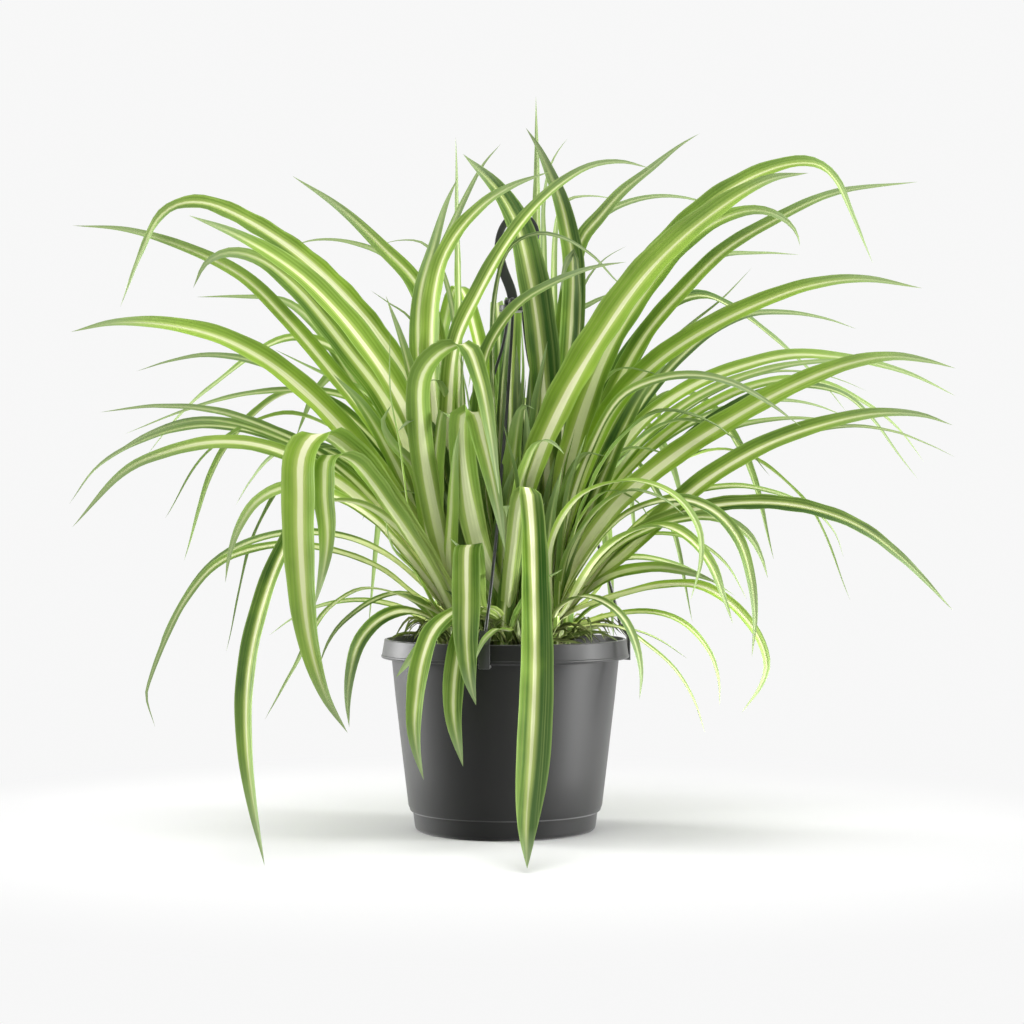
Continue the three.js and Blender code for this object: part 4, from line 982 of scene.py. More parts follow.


# The values of every PlacedLeaf, in the order of its fields. A row's number seeds its draws.
# The low tones of the leaves deep in the plant's middle are partly painted shade.
LEAF_ROWS: tuple[tuple, ...] = (
    ("left_front", 70, 22, 60, (-46, 215, -68, 285, -100, 336, -140, 379, -180, 405, -217, 421),
     0.5, 0.5),
    ("left_front", 25, 20.5, 62, (-48, 200, -78, 285, -110, 330, -145, 372, -170, 391, -190, 395,
     -205, 388, -214, 371), 0.3),
    ("left_front", 60, 19, 60, (-52, 190, -80, 232, -110, 272, -135, 298, -165, 322, -200, 339,
     -240, 347, -270, 347, -298, 341), 0.72),
    ("left_front", 45, 8.4, 55, (-60, 185, -100, 235, -130, 259, -165, 276, -200, 287, -240, 290,
     -278, 286)),
    ("left_front", 30, 8.4, 55, (-60, 195, -110, 245, -150, 266, -190, 279, -215, 280, -245, 271,
     -275, 253)),
    ("left_front", 80, 11.5, 60, (-62, 180, -100, 225, -140, 252, -170, 263, -200, 265, -230, 259,
     -260, 246, -297, 207)),
    ("left_front", 105, 10.8, 50, (-62, 180, -97, 217, -130, 232, -152, 234, -170, 225, -182, 208,
     -189, 188, -192, 169)),
    ("left_front", 115, 6.6, 45, (-62, 160, -85, 178, -115, 190, -150, 195, -180, 190, -200, 180,
     -220, 156, -233, 130, -243, 104, -246, 92, -240, 70)),
    ("left_front", 95, 6.6, 45, (-62, 172, -85, 190, -113, 201, -150, 203, -180, 195, -202, 181,
     -220, 158, -235, 130, -239, 113)),
    ("left_front", 190, 15.5, 0, (-60, 190, -98, 222, -130, 222, -150, 195, -166, 155, -176, 110,
     -178, 70, -174, 25, -165, -25), 0.3, 0.6),
    ("left_front", 185, 24.5, 0, (-42, 165, -60, 195, -85, 232, -108, 260, -127, 271, -138, 258,
     -140, 225, -139, 180, -134, 130, -123, 92, -108, 66), 0.46, 0.5, 1.3),
    ("left_front", 150, 17, 0, (-50, 175, -80, 222, -105, 253, -120, 256, -123, 235, -121, 200,
     -124, 178, -131, 152), 0.36, 0.55),
    ("left_front", 130, 5.4, 10, (-60, 155, -95, 165, -122, 150, -145, 110, -165, 75)),
    ("left_front", 80, 4.8, 35, (-57, 158, -75, 161.5, -92, 156, -113, 140, -122, 127, -128, 111)),
    ("left_front", 100, 10.8, 35, (-45, 140, -58, 147, -72, 149, -88, 142, -100, 128, -106, 108,
     -108, 88, -107, 70), None, 0.4, 2),
    ("left_front", 75, 9.6, 35, (-48, 152, -62, 176, -77, 192, -81, 205, -82, 213)),
    ("left_front", 34, 18, 65, (-38, 200, -48, 290, -50, 345, -45, 383, -35, 405, -15, 428, 5, 441,
     20, 447, 31, 451), 0.5, 0.5),
    ("left_front", 62, 16.7, 60, (-36, 200, -38, 290, -33, 335, -18, 368, 0, 400, 20, 426, 40, 444,
     60, 455, 80, 457.5, 100, 453), 0.42),
    ("left_front", 110, 17, 0, (-45, 200, -58, 275, -57, 312, -42, 329, -28, 332, -18, 310, -10,
     270, -4, 228), 0.3),
    ("left_front", 70, 17, 50, (-46, 170, -50, 220, -47, 265, -42, 287, -36, 280, -33, 262), 0.5),
    ("left_front", 50, 10.8, 60, (-50, 200, -56, 250, -55, 280, -60, 288, -65, 275, -64, 257)),
    ("left_front", 60, 11.5, -40, (-52, 200, -62, 247, -78, 265, -84, 280, -78, 291), 0.72),
    ("left_front", 78, 5.4, 45, (-62, 200, -73, 265, -79, 300, -79, 342)),
    ("left_front", 80, 11.5, 35, (-38, 170, -37, 220, -34, 262, -31, 276)),
    ("left_front", 6, 16.7, 55, (-46, 180, -70, 240, -98, 290, -118, 312)),
    ("left_back", -45, 19, 55, (-45, 220, -62, 290, -95, 346, -140, 392, -185, 421, -207, 429,
     -224, 428, -237, 419, -248, 398, -264, 358), 0.45),
    ("left_back", -60, 13.2, 60, (-50, 200, -85, 270, -120, 315, -150, 350, -180, 379, -220, 399,
     -260, 411, -297, 414)),
    ("left_back", -100, 9.6, 50, (-60, 230, -100, 300, -130, 345, -152, 362, -180, 365, -212,
     365)),
    ("left_back", -50, 8.4, 55, (-60, 215, -105, 275, -150, 312, -178, 322, -205, 325, -230, 321,
     -253, 314)),
    ("left_back", -120, 9.6, 45, (-45, 215, -80, 290, -110, 325, -143, 337, -165, 330, -190, 312,
     -217, 290, -235, 270, -246, 256)),
    ("left_back", -80, 6.6, 55, (-55, 230, -80, 282, -110, 297, -140, 301, -180, 298, -220, 287,
     -261, 271)),
    ("left_back", -30, 8.4, 55, (-65, 185, -105, 235, -145, 263, -185, 275, -215, 276, -250, 266,
     -280, 248, -299, 223)),
    ("left_back", -90, 10.8, 45, (-60, 200, -105, 250, -140, 264, -160, 255, -175, 238, -185,
     222)),
    ("left_back", -60, 4.8, 45, (-50, 142, -75, 153, -100, 157, -127, 153, -145, 145, -162, 133)),
    ("left_back", -50, 15.5, 60, (-34, 200, -42, 300, -58, 368, -85, 399, -115, 427, -146, 448)),
    ("left_back", -95, 7.2, 50, (-36, 250, -55, 350, -78, 390, -105, 402, -130, 404, -155, 397)),
    ("left_back", -80, 5.4, 50, (-30, 300, -42, 380, -55, 401, -70, 404, -90, 400)),
    ("left_back", -50, 4.2, 55, (-45, 300, -65, 350, -80, 361, -93, 370)),
    ("left_back", -25, 14.4, 62, (-45, 230, -60, 330, -58, 370, -50, 398, -41, 428, -32, 448),
     0.4),
    ("left_back", -45, 10.8, 60, (-31, 250, -31, 360, -32.5, 420, -33, 450, -34, 475), 0.45),
    ("left_back", -34, 9, 62, (-48, 250, -55, 345, -48, 385, -38, 410, -28, 432, -15, 456, -3,
     470)),
    ("left_back", -70, 10.8, -30, (-60, 245, -95, 298, -125, 312, -158, 329)),
    ("left_back", 2, 16, 55, (-42, 200, -56, 270, -70, 330, -82, 366)),
    ("right_front", 60, 22, 62, (38, 220, 70, 325, 95, 366, 120, 397, 145, 416, 170, 424, 188, 420,
     199, 410, 202, 400), 0.58),
    ("right_front", 50, 18, 60, (38, 190, 52, 240, 75, 290, 105, 321, 140, 344, 175, 361, 210, 373,
     245, 377, 286, 371), 0.7),
    ("right_front", 85, 9.6, 55, (40, 200, 60, 262, 80, 296, 105, 308, 130, 311, 155, 306, 178,
     294, 203, 276)),
    ("right_front", 40, 16.7, 62, (42, 170, 75, 220, 115, 255, 155, 281, 195, 303, 235, 319, 265,
     324, 290, 321, 309, 316), 0.7),
    ("right_front", 25, 4.8, 45, (55, 170, 120, 225, 180, 262, 230, 276, 265, 273, 290, 264, 309,
     255)),
    ("right_front", 80, 15.5, 60, (45, 160, 80, 187, 110, 216, 140, 241, 180, 264, 220, 278, 255,
     285, 285, 284, 307, 277)),
    ("right_front", 95, 13.2, 55, (48, 155, 80, 195, 115, 214, 150, 222, 185, 223, 215, 218, 245,
     206, 275, 183, 307, 150)),
    ("right_front", 80, 11.5, 40, (45, 155, 75, 192, 105, 208, 135, 214, 155, 210, 168, 200, 176,
     185, 180, 172)),
    ("right_front", 115, 10.8, 40, (50, 175, 80, 213, 105, 224, 125, 225, 145, 216, 160, 198, 168,
     172, 171, 145, 169, 118)),
    ("right_front", 145, 8.4, 15, (32, 195, 50, 227, 75, 238, 98, 237, 118, 227, 132, 207, 134,
     185, 127, 157)),
    ("right_front", 125, 14.4, 15, (42, 150, 65, 187, 90, 205, 110, 207, 127, 198, 141, 180, 149,
     160, 156, 141)),
    ("right_front", 45, 4.8, 35, (60, 160, 90, 199, 115, 202, 135, 195, 152, 181, 166, 157)),
    ("right_front", 60, 10.8, 50, (42, 150, 70, 172, 100, 179, 125, 176, 148, 168), 0.58),
    ("right_front", 110, 9.6, 35, (45, 148, 75, 159, 110, 167, 135, 166, 155, 154, 172, 134, 179,
     113, 175, 99, 162, 80)),
    ("right_front", 105, 8.4, 10, (36, 150, 50, 159, 66, 156, 80, 145, 89, 127, 93, 107, 92, 89),
     None, 0.4, 2),
    ("right_front", 50, 6.6, 35, (50, 140, 75, 147, 105, 148, 125, 139, 140, 121, 146, 103, 147,
     85), 0.7),
    ("right_front", 60, 4.8, 15, (48, 138, 65, 140, 82, 137, 95, 128, 115, 111, 129, 89, 137, 66),
     0.58, 0.4, 1.5),
    ("right_front", 22, 24, 80, (30, 190, 28, 265, 26, 310, 22, 350, 16, 385, 8, 415, -5, 438, -29,
     463), 0.08, 0.62),
    ("right_front", 30, 16.7, 55, (42, 230, 50, 320, 51, 375, 47, 396, 41, 386, 38, 368), 0.1),
    ("right_back", -35, 19, 55, (45, 220, 60, 300, 82, 362, 110, 400, 145, 433, 180, 452, 203, 457,
     216, 455, 227, 444, 238, 420, 252, 388), 0.5),
    ("right_back", -60, 13.2, 60, (45, 220, 70, 290, 95, 338, 125, 373, 150, 397, 185, 418, 225,
     436, 283, 444)),
    ("right_back", -90, 9.6, 50, (50, 230, 90, 325, 120, 370, 145, 392, 175, 395, 202, 394)),
    ("right_back", -100, 4.2, 45, (60, 250, 110, 330, 150, 365, 169, 385)),
    ("right_back", -50, 8.4, 55, (55, 220, 100, 300, 140, 340, 168, 353, 195, 354, 220, 350, 241,
     343)),
    ("right_back", -120, 10.8, 45, (45, 230, 80, 320, 115, 360, 135, 366, 155, 358, 180, 340, 205,
     318, 222, 301, 234, 286)),
    ("right_back", -45, 11.5, 60, (50, 210, 90, 275, 125, 302, 155, 315, 195, 325, 225, 324, 250,
     320, 280, 311, 309, 297)),
    ("right_back", -30, 8.4, 55, (50, 200, 90, 262, 125, 292, 160, 309, 200, 319, 240, 321, 262,
     318)),
    ("right_back", -65, 8.4, 50, (50, 200, 100, 262, 150, 296, 190, 308, 220, 305, 250, 290, 270,
     274, 287, 252)),
    ("right_back", -95, 4.8, 45, (55, 220, 120, 285, 175, 312, 210, 313, 230, 308, 249, 300)),
    ("right_back", -40, 8.4, 50, (50, 190, 110, 255, 160, 292, 200, 304, 230, 299, 250, 283, 268,
     259, 283, 240)),
    ("right_back", -110, 6.6, 45, (50, 210, 110, 268, 160, 291, 192, 294, 215, 290, 240, 280)),
    ("right_back", -75, 6.6, 50, (50, 190, 90, 235, 125, 260, 155, 275, 185, 281, 215, 281, 240,
     276)),
    ("right_back", -60, 6.6, 45, (55, 165, 95, 212, 130, 231, 160, 235, 190, 229, 212, 218, 226,
     203, 232, 186)),
    ("right_back", -30, 6.6, 40, (48, 160, 75, 183, 95, 186, 120, 180, 140, 171, 158, 160)),
    ("right_back", -25, 4.2, 15, (50, 139, 70, 139, 90, 136, 107, 129, 125, 117)),
    ("right_back", -30, 10.8, 60, (24, 300, 22, 400, 22, 460, 21.5, 480, 21, 503)),
    ("right_back", -24, 17, 65, (38, 250, 47, 385, 43, 412, 38, 432, 30, 452, 22, 469, 14, 481),
     0.15, 0.55),
    ("right_back", -50, 7.2, 60, (28, 300, 26, 400, 26, 430, 30, 453, 36, 465, 43, 474)),
    ("right_back", -40, 14.4, 62, (36, 280, 45, 375, 53, 405, 65, 420, 80, 437, 100, 453, 120, 469,
     133, 477)),
    ("right_back", -90, 8.4, 50, (40, 330, 52, 400, 66, 420, 85, 430, 110, 434, 135, 430, 155,
     420)),
    ("right_back", -110, 6, 50, (33, 330, 36, 420, 42, 431, 54, 434, 70, 433, 85, 428)),
    ("right_back", -60, 9.6, 45, (36, 300, 44, 350, 58, 360, 75, 367, 90, 368)),
    ("right_back", -70, 4.2, 45, (45, 340, 55, 375, 68, 391, 83, 400)),
    ("front", 72, 25.5, 60, (10, 190, 18, 240, 38, 290, 68, 342, 100, 385, 140, 421, 180, 445, 208,
     450), 0.62, 0.5),
    ("front", 50, 5.4, 55, (-8, 300, -6, 370, 3, 398, 20, 408, 38, 406, 60, 393, 75, 377, 92,
     362)),
    ("front", 55, 14.4, 55, (-14, 230, -17, 290, -13, 325, -3, 345, 12, 362, 30, 373, 60, 385, 83,
     389)),
    ("front", 201, 21.5, 0, (2, 150, 7, 200, 11.5, 228, 15.5, 234, 18.5, 215, 20.5, 170, 21.5, 110,
     19, 50, 15, 0, 15, -27), 0.0, 0.76),
    ("front", 125, 19, 0, (-17, 150, -22, 183, -25, 196, -26, 188, -26, 160, -26, 125, -24, 103,
     -20, 85), 0.22, 0.6, 1.4),
    ("front", 105, 14.5, 10, (-14, 146, -30, 148, -45, 137, -62, 119, -75, 104), 0.36, 0.5, 2.2),
    ("front", 115, 15, 0, (-16, 150, -34, 149, -48, 137, -56, 118, -60, 95, -62, 72, -60, 52, -56,
     34), 0.28, 0.55, 2.6),
    ("front", 118, 15, 0, (-6, 148, -17, 152, -25, 143, -31, 125, -35, 98, -35, 75, -29, 43), 0.3,
     0.55, 2.4),
    ("front", 58, 6.6, 10, (5, 136, -2, 141, -10, 144, -19, 145)),
    ("front", 96, 6.6, 0, (3, 136, -5, 137, -12, 132, -17, 125, -20, 117), None, 0.4, 1.2),
    ("front", 105, 18, 0, (-20, 200, -30, 265, -28, 286, -21, 286, -15, 266, -9, 240, -4, 215, 0,
     190), 0.36),
    ("front", 60, 11.5, 55, (-22, 180, -29, 230, -31, 275, -30, 310, -28, 330), 0.2),
    ("front", 52, 15.5, 35, (-6, 160, -14, 205, -24, 235, -32, 262), 0.25),
    ("front", 48, 15.5, 10, (2, 165, -1, 200, 3, 232, 9, 256), 0.2),
    ("right_front", 8, 16.7, 55, (44, 180, 66, 240, 92, 296, 112, 322)),
    ("right_back", 0, 16, 55, (40, 200, 52, 270, 64, 330, 72, 372)),
    ("right_front", 35, 16, 45, (16, 180, 19, 240, 22, 290, 29, 335)),
    ("back", -20, 19, 35, (4, 180, 9, 260, 13, 310, 11, 349), 0.1),
    ("back", -35, 17, 35, (-6, 200, -4, 280, -1, 320, 4, 356), 0.1),
)


@dataclass(frozen=True)
class Filling:
    """The rule for the leaves that fill a rosette: their number, directions, reach and arch."""

    count: int
    direction: float
    spread: float
    reach: Span
    rise: Span
    drop: Span


@dataclass
class Rosette:
    """One rosette of the plant, whose leaf bases stand side by side in the soil."""

    name: str
    direction: float
    fan_middle: float
    filling: Filling
    ring_radius: float = 34.0
    root_height: float = 127.0
    root_steps: Profile = ((0.7, 0.0), (1.0, 10.0))
    root_lift: float = 4.0
    root_shift: float = 2.0
    root_reach: float = 3.0
    root_spread: float = 8.5
    fan_reach: float = 60.0
    filling_root_reach: float = 4.0
    filling_width: Span = (8.0, 17.0)
    filling_turn: float = 20.0
    highest_drop: float = 100.0
    rising: Profile = ((0.14, 0.45), (0.34, 0.83), (0.59, 1.0))
    falling: Profile = ((0.85, 0.35), (1.0, 1.0))
    eye: Eye = Eye()

    def __post_init__(self) -> None:
        """Find the rosette's place, and the tips that its plain solid has."""
        angle = math.radians(self.direction)
        self.foot = Vector((math.cos(angle), math.sin(angle))) * self.ring_radius
        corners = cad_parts[self.node].data.vertices
        self.tips = KDTree(len(corners))
        for index, corner in enumerate(corners):
            self.tips.insert(corner.co / MM, index)
        self.tips.balance()
        self.missed = 0

    @property
    def node(self) -> str:
        """The plain solid that the rosette takes the place of."""
        return f"crown_{self.name}"

    def _roots(self, towards: Vector, index: int) -> list[Vector]:
        """Find two points in the core that a leaf grows from, fanned out the way it reaches."""
        lift = self.root_lift * spread(index, 4)
        x = towards.x + self.root_shift * (spread(index, 2) - 0.5)
        y = towards.y + self.root_shift * (spread(index, 3) - 0.5)
        return [
            Vector((self.foot.x + share * x, self.foot.y + share * y, self.root_height + up + lift))
            for share, up in self.root_steps
        ]

    def _placed(self, placed: PlacedLeaf, index: int, more: float) -> list[Vector]:
        """Find the points of a leaf placed one by one.

        Args:
            placed: The leaf.
            index: Its row's number.
            more: How much further it reaches to the front, along its lines of sight.

        Returns:
            The points from base to tip.
        """
        reach = placed.reach + more
        route = placed.points()
        end = self.eye.seen(*route[-1], reach)
        fan = min(max((reach - self.fan_middle) / self.fan_reach, -1.0), 1.0)
        across = self.root_reach * math.copysign(1, end.x - self.foot.x)
        roots = self._roots(Vector((across, -self.root_spread * fan)), index)
        lengths = [0.0]
        for start, stop in zip([self.eye.sight_of(roots[1]), *route], route):
            lengths.append(lengths[-1] + (stop - start).length)
        points = list(roots)
        for place, length in zip(route, lengths[1:]):
            share = 1 - (1 - length / lengths[-1]) ** placed.early
            points.append(self.eye.seen(*place, between(-roots[1].y, reach, share)))
        return points

    def _filled(self, index: int, turn: float) -> list[Vector]:
        """Find the points of a leaf placed by rule, turned about the rosette by some degrees."""
        rule = self.filling
        share = (index + 0.5) / rule.count - 0.5
        angle = math.radians(rule.direction + rule.spread * share + turn)
        towards = Vector((math.cos(angle), math.sin(angle)))
        reach = between(*rule.reach, spread(index, 0))
        rise = between(*rule.rise, spread(index, 1))
        drop = min(between(*rule.drop, spread(index, 2)), rise + self.highest_drop)
        roots = self._roots(towards * self.filling_root_reach, index)
        arch = [(out, rise * up) for out, up in self.rising]
        arch += [(out, rise - drop * down) for out, down in self.falling]
        return roots + [
            Vector((*(self.foot + towards * reach * out), roots[1].z + up)) for out, up in arch
        ]

    def _settled(self, offers: list[list[Vector]]) -> list[Vector]:
        """Choose the offered route whose tip lies on a corner of the plain solid."""
        for points in offers:
            tip = points[-1].copy()
            tip.z = max(tip.z, Blade.free_height)
            if self.tips.find(tip)[2] < TIP_REACH:
                return points
        self.missed += 1
        return offers[0]

    def blades(self) -> list[Blade]:
        """Make all leaves of the rosette."""
        leaves = []
        for index, row in enumerate(LEAF_ROWS):
            leaf = PlacedLeaf(*row)
            if leaf.rosette != self.name:
                continue
            points = self._settled([self._placed(leaf, index, more) for more in REACH_CHANGES])
            form = {"widest_at": leaf.widest_at}
            if leaf.tone is not None:
                form["tone_range"] = (leaf.tone, leaf.tone)
            leaves.append(Blade(points, leaf.width, leaf.turn, random.Random(index), **form))
        for index in range(self.filling.count):
            points = self._settled([self._filled(index, turn) for turn in TURN_CHANGES])
            width = between(*self.filling_width, spread(index, 3))
            turn = self.filling_turn * (spread(index, 0) - 0.5)
            leaves.append(Blade(points, width, turn, random.Random(f"{self.name} {index}")))
        return leaves

    def build(self, leaf: Material) -> None:
        """Build the rosette's leaves as one piece."""
        leaves = self.blades()
        LOG.info("%s: %d leaves, %d not found in the solid", self.name, len(leaves), self.missed)
        build_leaves(leaves, f"leaves_{self.name}", leaf, self.node)


@dataclass(frozen=True)
class SheathBundle:
    """The short fleshy middles of the rosettes, wrapped in the ridges of old leaf bases."""

    profile: Profile = (
        *((0.0, 112.0), (7.0, 112.0), (9.3, 118.0), (9.3, 127.0), (10.4, 133.0)),
        *((9.6, 143.0), (7.4, 155.0), (4.0, 165.0), (0.0, 169.0)),
    )
    ridges: int = 9
    ridge: float = 0.09
    ridge_lean: float = 9.0
    sides: int = 54

    def build(self, rosettes: list[Rosette], sheath: Material) -> None:
        """Build the middles of all rosettes as one piece."""
        whole = bmesh.new()
        for number, rosette in enumerate(rosettes):
            part = spun(self.profile, self.sides)
            for vert in part.verts:
                angle = self.ridges * math.atan2(vert.co.y, vert.co.x)
                ripple = 1 + self.ridge * math.cos(angle + number + self.ridge_lean * vert.co.z)
                vert.co.x *= ripple
                vert.co.y *= ripple
            shift = Vector((rosette.foot.x, rosette.foot.y, 0)) * MM
            bmesh.ops.translate(part, verts=part.verts, vec=shift)
            append_mesh(whole, part)
        finish_piece(whole, "leaf_sheaths", sheath)


@dataclass(frozen=True)
class YoungLeaves:
    """Short upright leaves that fill the plant's middle between the rosettes; their deep greens are
    partly painted shade of that crowded middle.
    """

    count: int = 92
    seed: int = 29
    widths: Span = (7.0, 15.0)
    heights: Span = (50.0, 225.0)
    height_shares: Span = (1.15, 0.7)
    leans: Span = (4.0, 58.0)
    turned: float = 0.9
    facing: float = 60.0
    radius: float = 47.0
    foot_height: float = 122.0
    rising: Profile = ((0.0, 0.0), (0.08, 0.3), (0.42, 0.75), (1.0, 1.0))

    def build(self, leaf: Material) -> None:
        """Build all of them as one piece."""
        form = {"widest_at": 0.35, "around": 12, "ring_step": 8.0}
        # The deep tones and narrow stripes paint the shade in the plant's crowded middle.
        form |= {"tone_range": (-0.2, 0.3), "stripe_range": (0.1, 0.5)}
        draw = random.Random(self.seed)
        leaves = []
        for number in range(self.count):
            out = math.sqrt((number + 0.5) / self.count)
            towards = polar(1, math.tau * spread(number, 0))
            foot = towards * self.radius * out + Vector((0, 0, self.foot_height))
            towards.rotate(Matrix.Rotation(draw.uniform(-self.turned, self.turned), 3, "Z"))
            height = draw.uniform(*self.heights) * between(*self.height_shares, out)
            lean = draw.uniform(*self.leans) * out
            points = [
                foot + towards * lean * across + Vector((0, 0, height * up))
                for across, up in self.rising
            ]
            width, turn = draw.uniform(*self.widths), draw.uniform(-self.facing, self.facing)
            leaves.append(Blade(points, width, turn, random.Random(f"young {number}"), **form))
        build_leaves(leaves, "leaves_young", leaf)


@dataclass(frozen=True)
class Litter:
    """Old leaves that have withered round the rim and on the soil."""

    count: int = 96
    seed: int = 11
    widths: Span = (1.6, 3.8)
    facing: float = 60.0
    gathered: float = 0.9
    swing: float = 0.7
    rooted: tuple[Triple, ...] = ((0.0, 30.0, 120.5), (0.3, 46.0, 130.5))
    end_radii: Span = (56.0, 86.0)
    rim_height: float = 131.0
    over_rim: Span = (0.0, 17.0)
    end_drop: float = 3.0
    top_share: float = 0.65

    def _arc(self, draw: random.Random) -> list[Vector]:
        """Draw one withered leaf: out of the soil, over the rim or along it."""
        start = draw.choice((0, math.pi)) + draw.gauss(0, self.gathered)
        swing = draw.uniform(-self.swing, self.swing)
        end = draw.uniform(*self.end_radii)
        top = self.rim_height + draw.uniform(*self.over_rim)
        steps = (
            *self.rooted,
            (self.top_share, between(self.rooted[-1][1], end, self.top_share), top),
            (1.0, end, self.rim_height - draw.uniform(-self.end_drop, self.end_drop)),
        )
        return [polar(radius, start + swing * share, up) for share, radius, up in steps]

    def build(self, dry: Material) -> None:
        """Build all withered leaves as one piece."""
        form = {"base_width": 1.5, "thickness": (0.5, 0.3), "channel": (0.9, 0.7), "sunk": 3.0}
        form |= {"around": 8, "ring_step": 5.0, "tone_range": (0.0, 1.0)}
        draw = random.Random(self.seed)
        leaves = []
        for number in range(self.count):
            width = draw.uniform(*self.widths)
            arc = self._arc(draw)
            turn = draw.uniform(-self.facing, self.facing)
            leaves.append(Blade(arc, width, turn, random.Random(f"litter {number}"), **form))
        build_leaves(leaves, "withered_leaves", dry)


# ---------- pot and soil ----------


@dataclass(frozen=True)
class Pot:
    """The moulded round pot: foot, tapering body and the collar that the hanger clips over."""

    height: float = 131.0
    rim_radius: float = 85.0
    collar_height: float = 13.0
    body_top: float = 78.0
    body_bottom: float = 66.0
    foot_radius: float = 62.2
    foot_height: float = 13.7
    wall: float = 2.0
    floor: float = 3.0
    draft: float = 2.2
    curve_reach: float = 26.0
    round_edge: float = 0.5
    sharp_angle: float = 50.0
    sides: int = 144
    drain_radius: float = 4.0
    drain_circle: float = 44.0
    drain_count: int = 6
    drain_sides: int = 32

    def _profile(self) -> Profile:
        """Draw the section with its soft corners, outside upwards and inside down again."""
        foot, top, bottom, wall = self.foot_radius, self.body_top, self.body_bottom, self.wall
        outer, low, high = self.rim_radius, self.foot_height, self.height
        shelf = high - self.collar_height
        rim = outer - self.draft
        curve = (top - bottom) / (shelf - low) * self.curve_reach
        return (
            (0.0, 1.2),
            (foot - 9, 1.2),
            (foot - 8, 0.0),
            (foot - 3.6, 0.0),
            (foot - 2.0, 0.5),
            (foot - 0.8, 1.7),
            (foot - 0.2, 3.4),
            (foot + 0.9, low - 0.8),
            (foot + 1.6, low - 0.4),
            (foot + 3.0, low + 0.3),
            (bottom - 0.5, low + 1.6),
            (bottom + 0.35, low + 3.8),
            (bottom + curve + 0.3, low + self.curve_reach + 2),
            (top - curve + 0.2, shelf - self.curve_reach),
            (top - 0.25, shelf - 0.9),
            (top + 0.5, shelf),
            (outer - 0.9, shelf),
            (outer, shelf + 0.7),
            (outer - 0.15, shelf + 1.9),
            (outer - 0.6, shelf + 2.4),
            (rim + 0.1, high - 1.6),
            (rim, high - 0.6),
            (rim - 0.5, high),
            (rim - wall, high),
            (rim - wall - 0.1, shelf + wall),
            (top - wall, shelf + wall),
            (bottom - wall, low + 2),
            (foot - wall, low - 1),
            (foot - wall - 0.5, self.floor),
            (0.0, self.floor),
        )

    def build(self, plastic: Material) -> None:
        """Spin the pot, soften its mouldings and drill the floor."""
        mesh = spun(self._profile(), self.sides)
        limit = math.radians(self.sharp_angle)
        sharp = [edge for edge in mesh.edges if edge.calc_face_angle(0.0) > limit]
        round_edges(mesh, sharp, self.round_edge)
        self._drill(mesh)
        finish_piece(mesh, "pot_moulding", plastic, "pot", crease=32.0)

    def _drill(self, mesh: Mesh) -> None:
        """Cut the round drain holes out of the floor."""
        cutter = bmesh.new()
        radius = self.drain_radius * MM
        form = {"cap_ends": True, "segments": self.drain_sides, "depth": 3 * self.floor * MM}
        for number in range(self.drain_count):
            angle = math.tau * number / self.drain_count
            place = Matrix.Translation(polar(self.drain_circle * MM, angle, self.floor / 2 * MM))
            bmesh.ops.create_cone(cutter, radius1=radius, radius2=radius, matrix=place, **form)
        cut_away(mesh, cutter)


@dataclass(frozen=True)
class Soil:
    """The soil's surface: the plain solid is kept, and loose crumbs lie on it."""

    crumbs: int = 620
    seed: int = 5
    sizes: Span = (0.8, 2.6)
    flattened: Span = (0.8, 0.6)
    radius: float = 80.0
    height: float = 122.0
    mound: float = 2.5
    flat_share: float = 0.6
    raised: float = 0.1
    turn_limit: float = 3.0
    tilt_limit: float = 1.0

    def build(self, peat: Material) -> None:
        """Dress the soil's solid, and scatter the crumbs."""
        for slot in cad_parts["soil"].material_slots:
            slot.link = "OBJECT"
            slot.material = peat
        draw = random.Random(self.seed)
        mesh = bmesh.new()
        for _ in range(self.crumbs):
            radius = self.radius * math.sqrt(draw.random())
            angle = draw.uniform(0, math.tau)
            size = draw.uniform(*self.sizes)
            rise = min((1 - radius / (self.radius + 2)) / (1 - self.flat_share), 1.0)
            place = polar(radius, angle, self.height + self.mound * rise + self.raised * size)
            turned = Matrix.Rotation(draw.uniform(0, self.turn_limit), 4, "Z")
            turned @= Matrix.Rotation(draw.uniform(-self.tilt_limit, self.tilt_limit), 4, "X")
            wide, high = (size * share for share in self.flattened)
            shape = Matrix.Translation(place * MM) @ turned
            shape @= Matrix.Diagonal((size, wide, high, 1 / MM)) * MM
            bmesh.ops.create_icosphere(mesh, subdivisions=1, radius=1.0, matrix=shape)
        finish_piece(mesh, "soil_crumbs", peat, crease=180.0)


# ---------- hanger ----------


@dataclass(frozen=True)
class Strand:
    """One strand of the hanger: the angle of its clip, and its way down from the hub."""

    name: str
    clip: float
    route: tuple[Triple, ...]


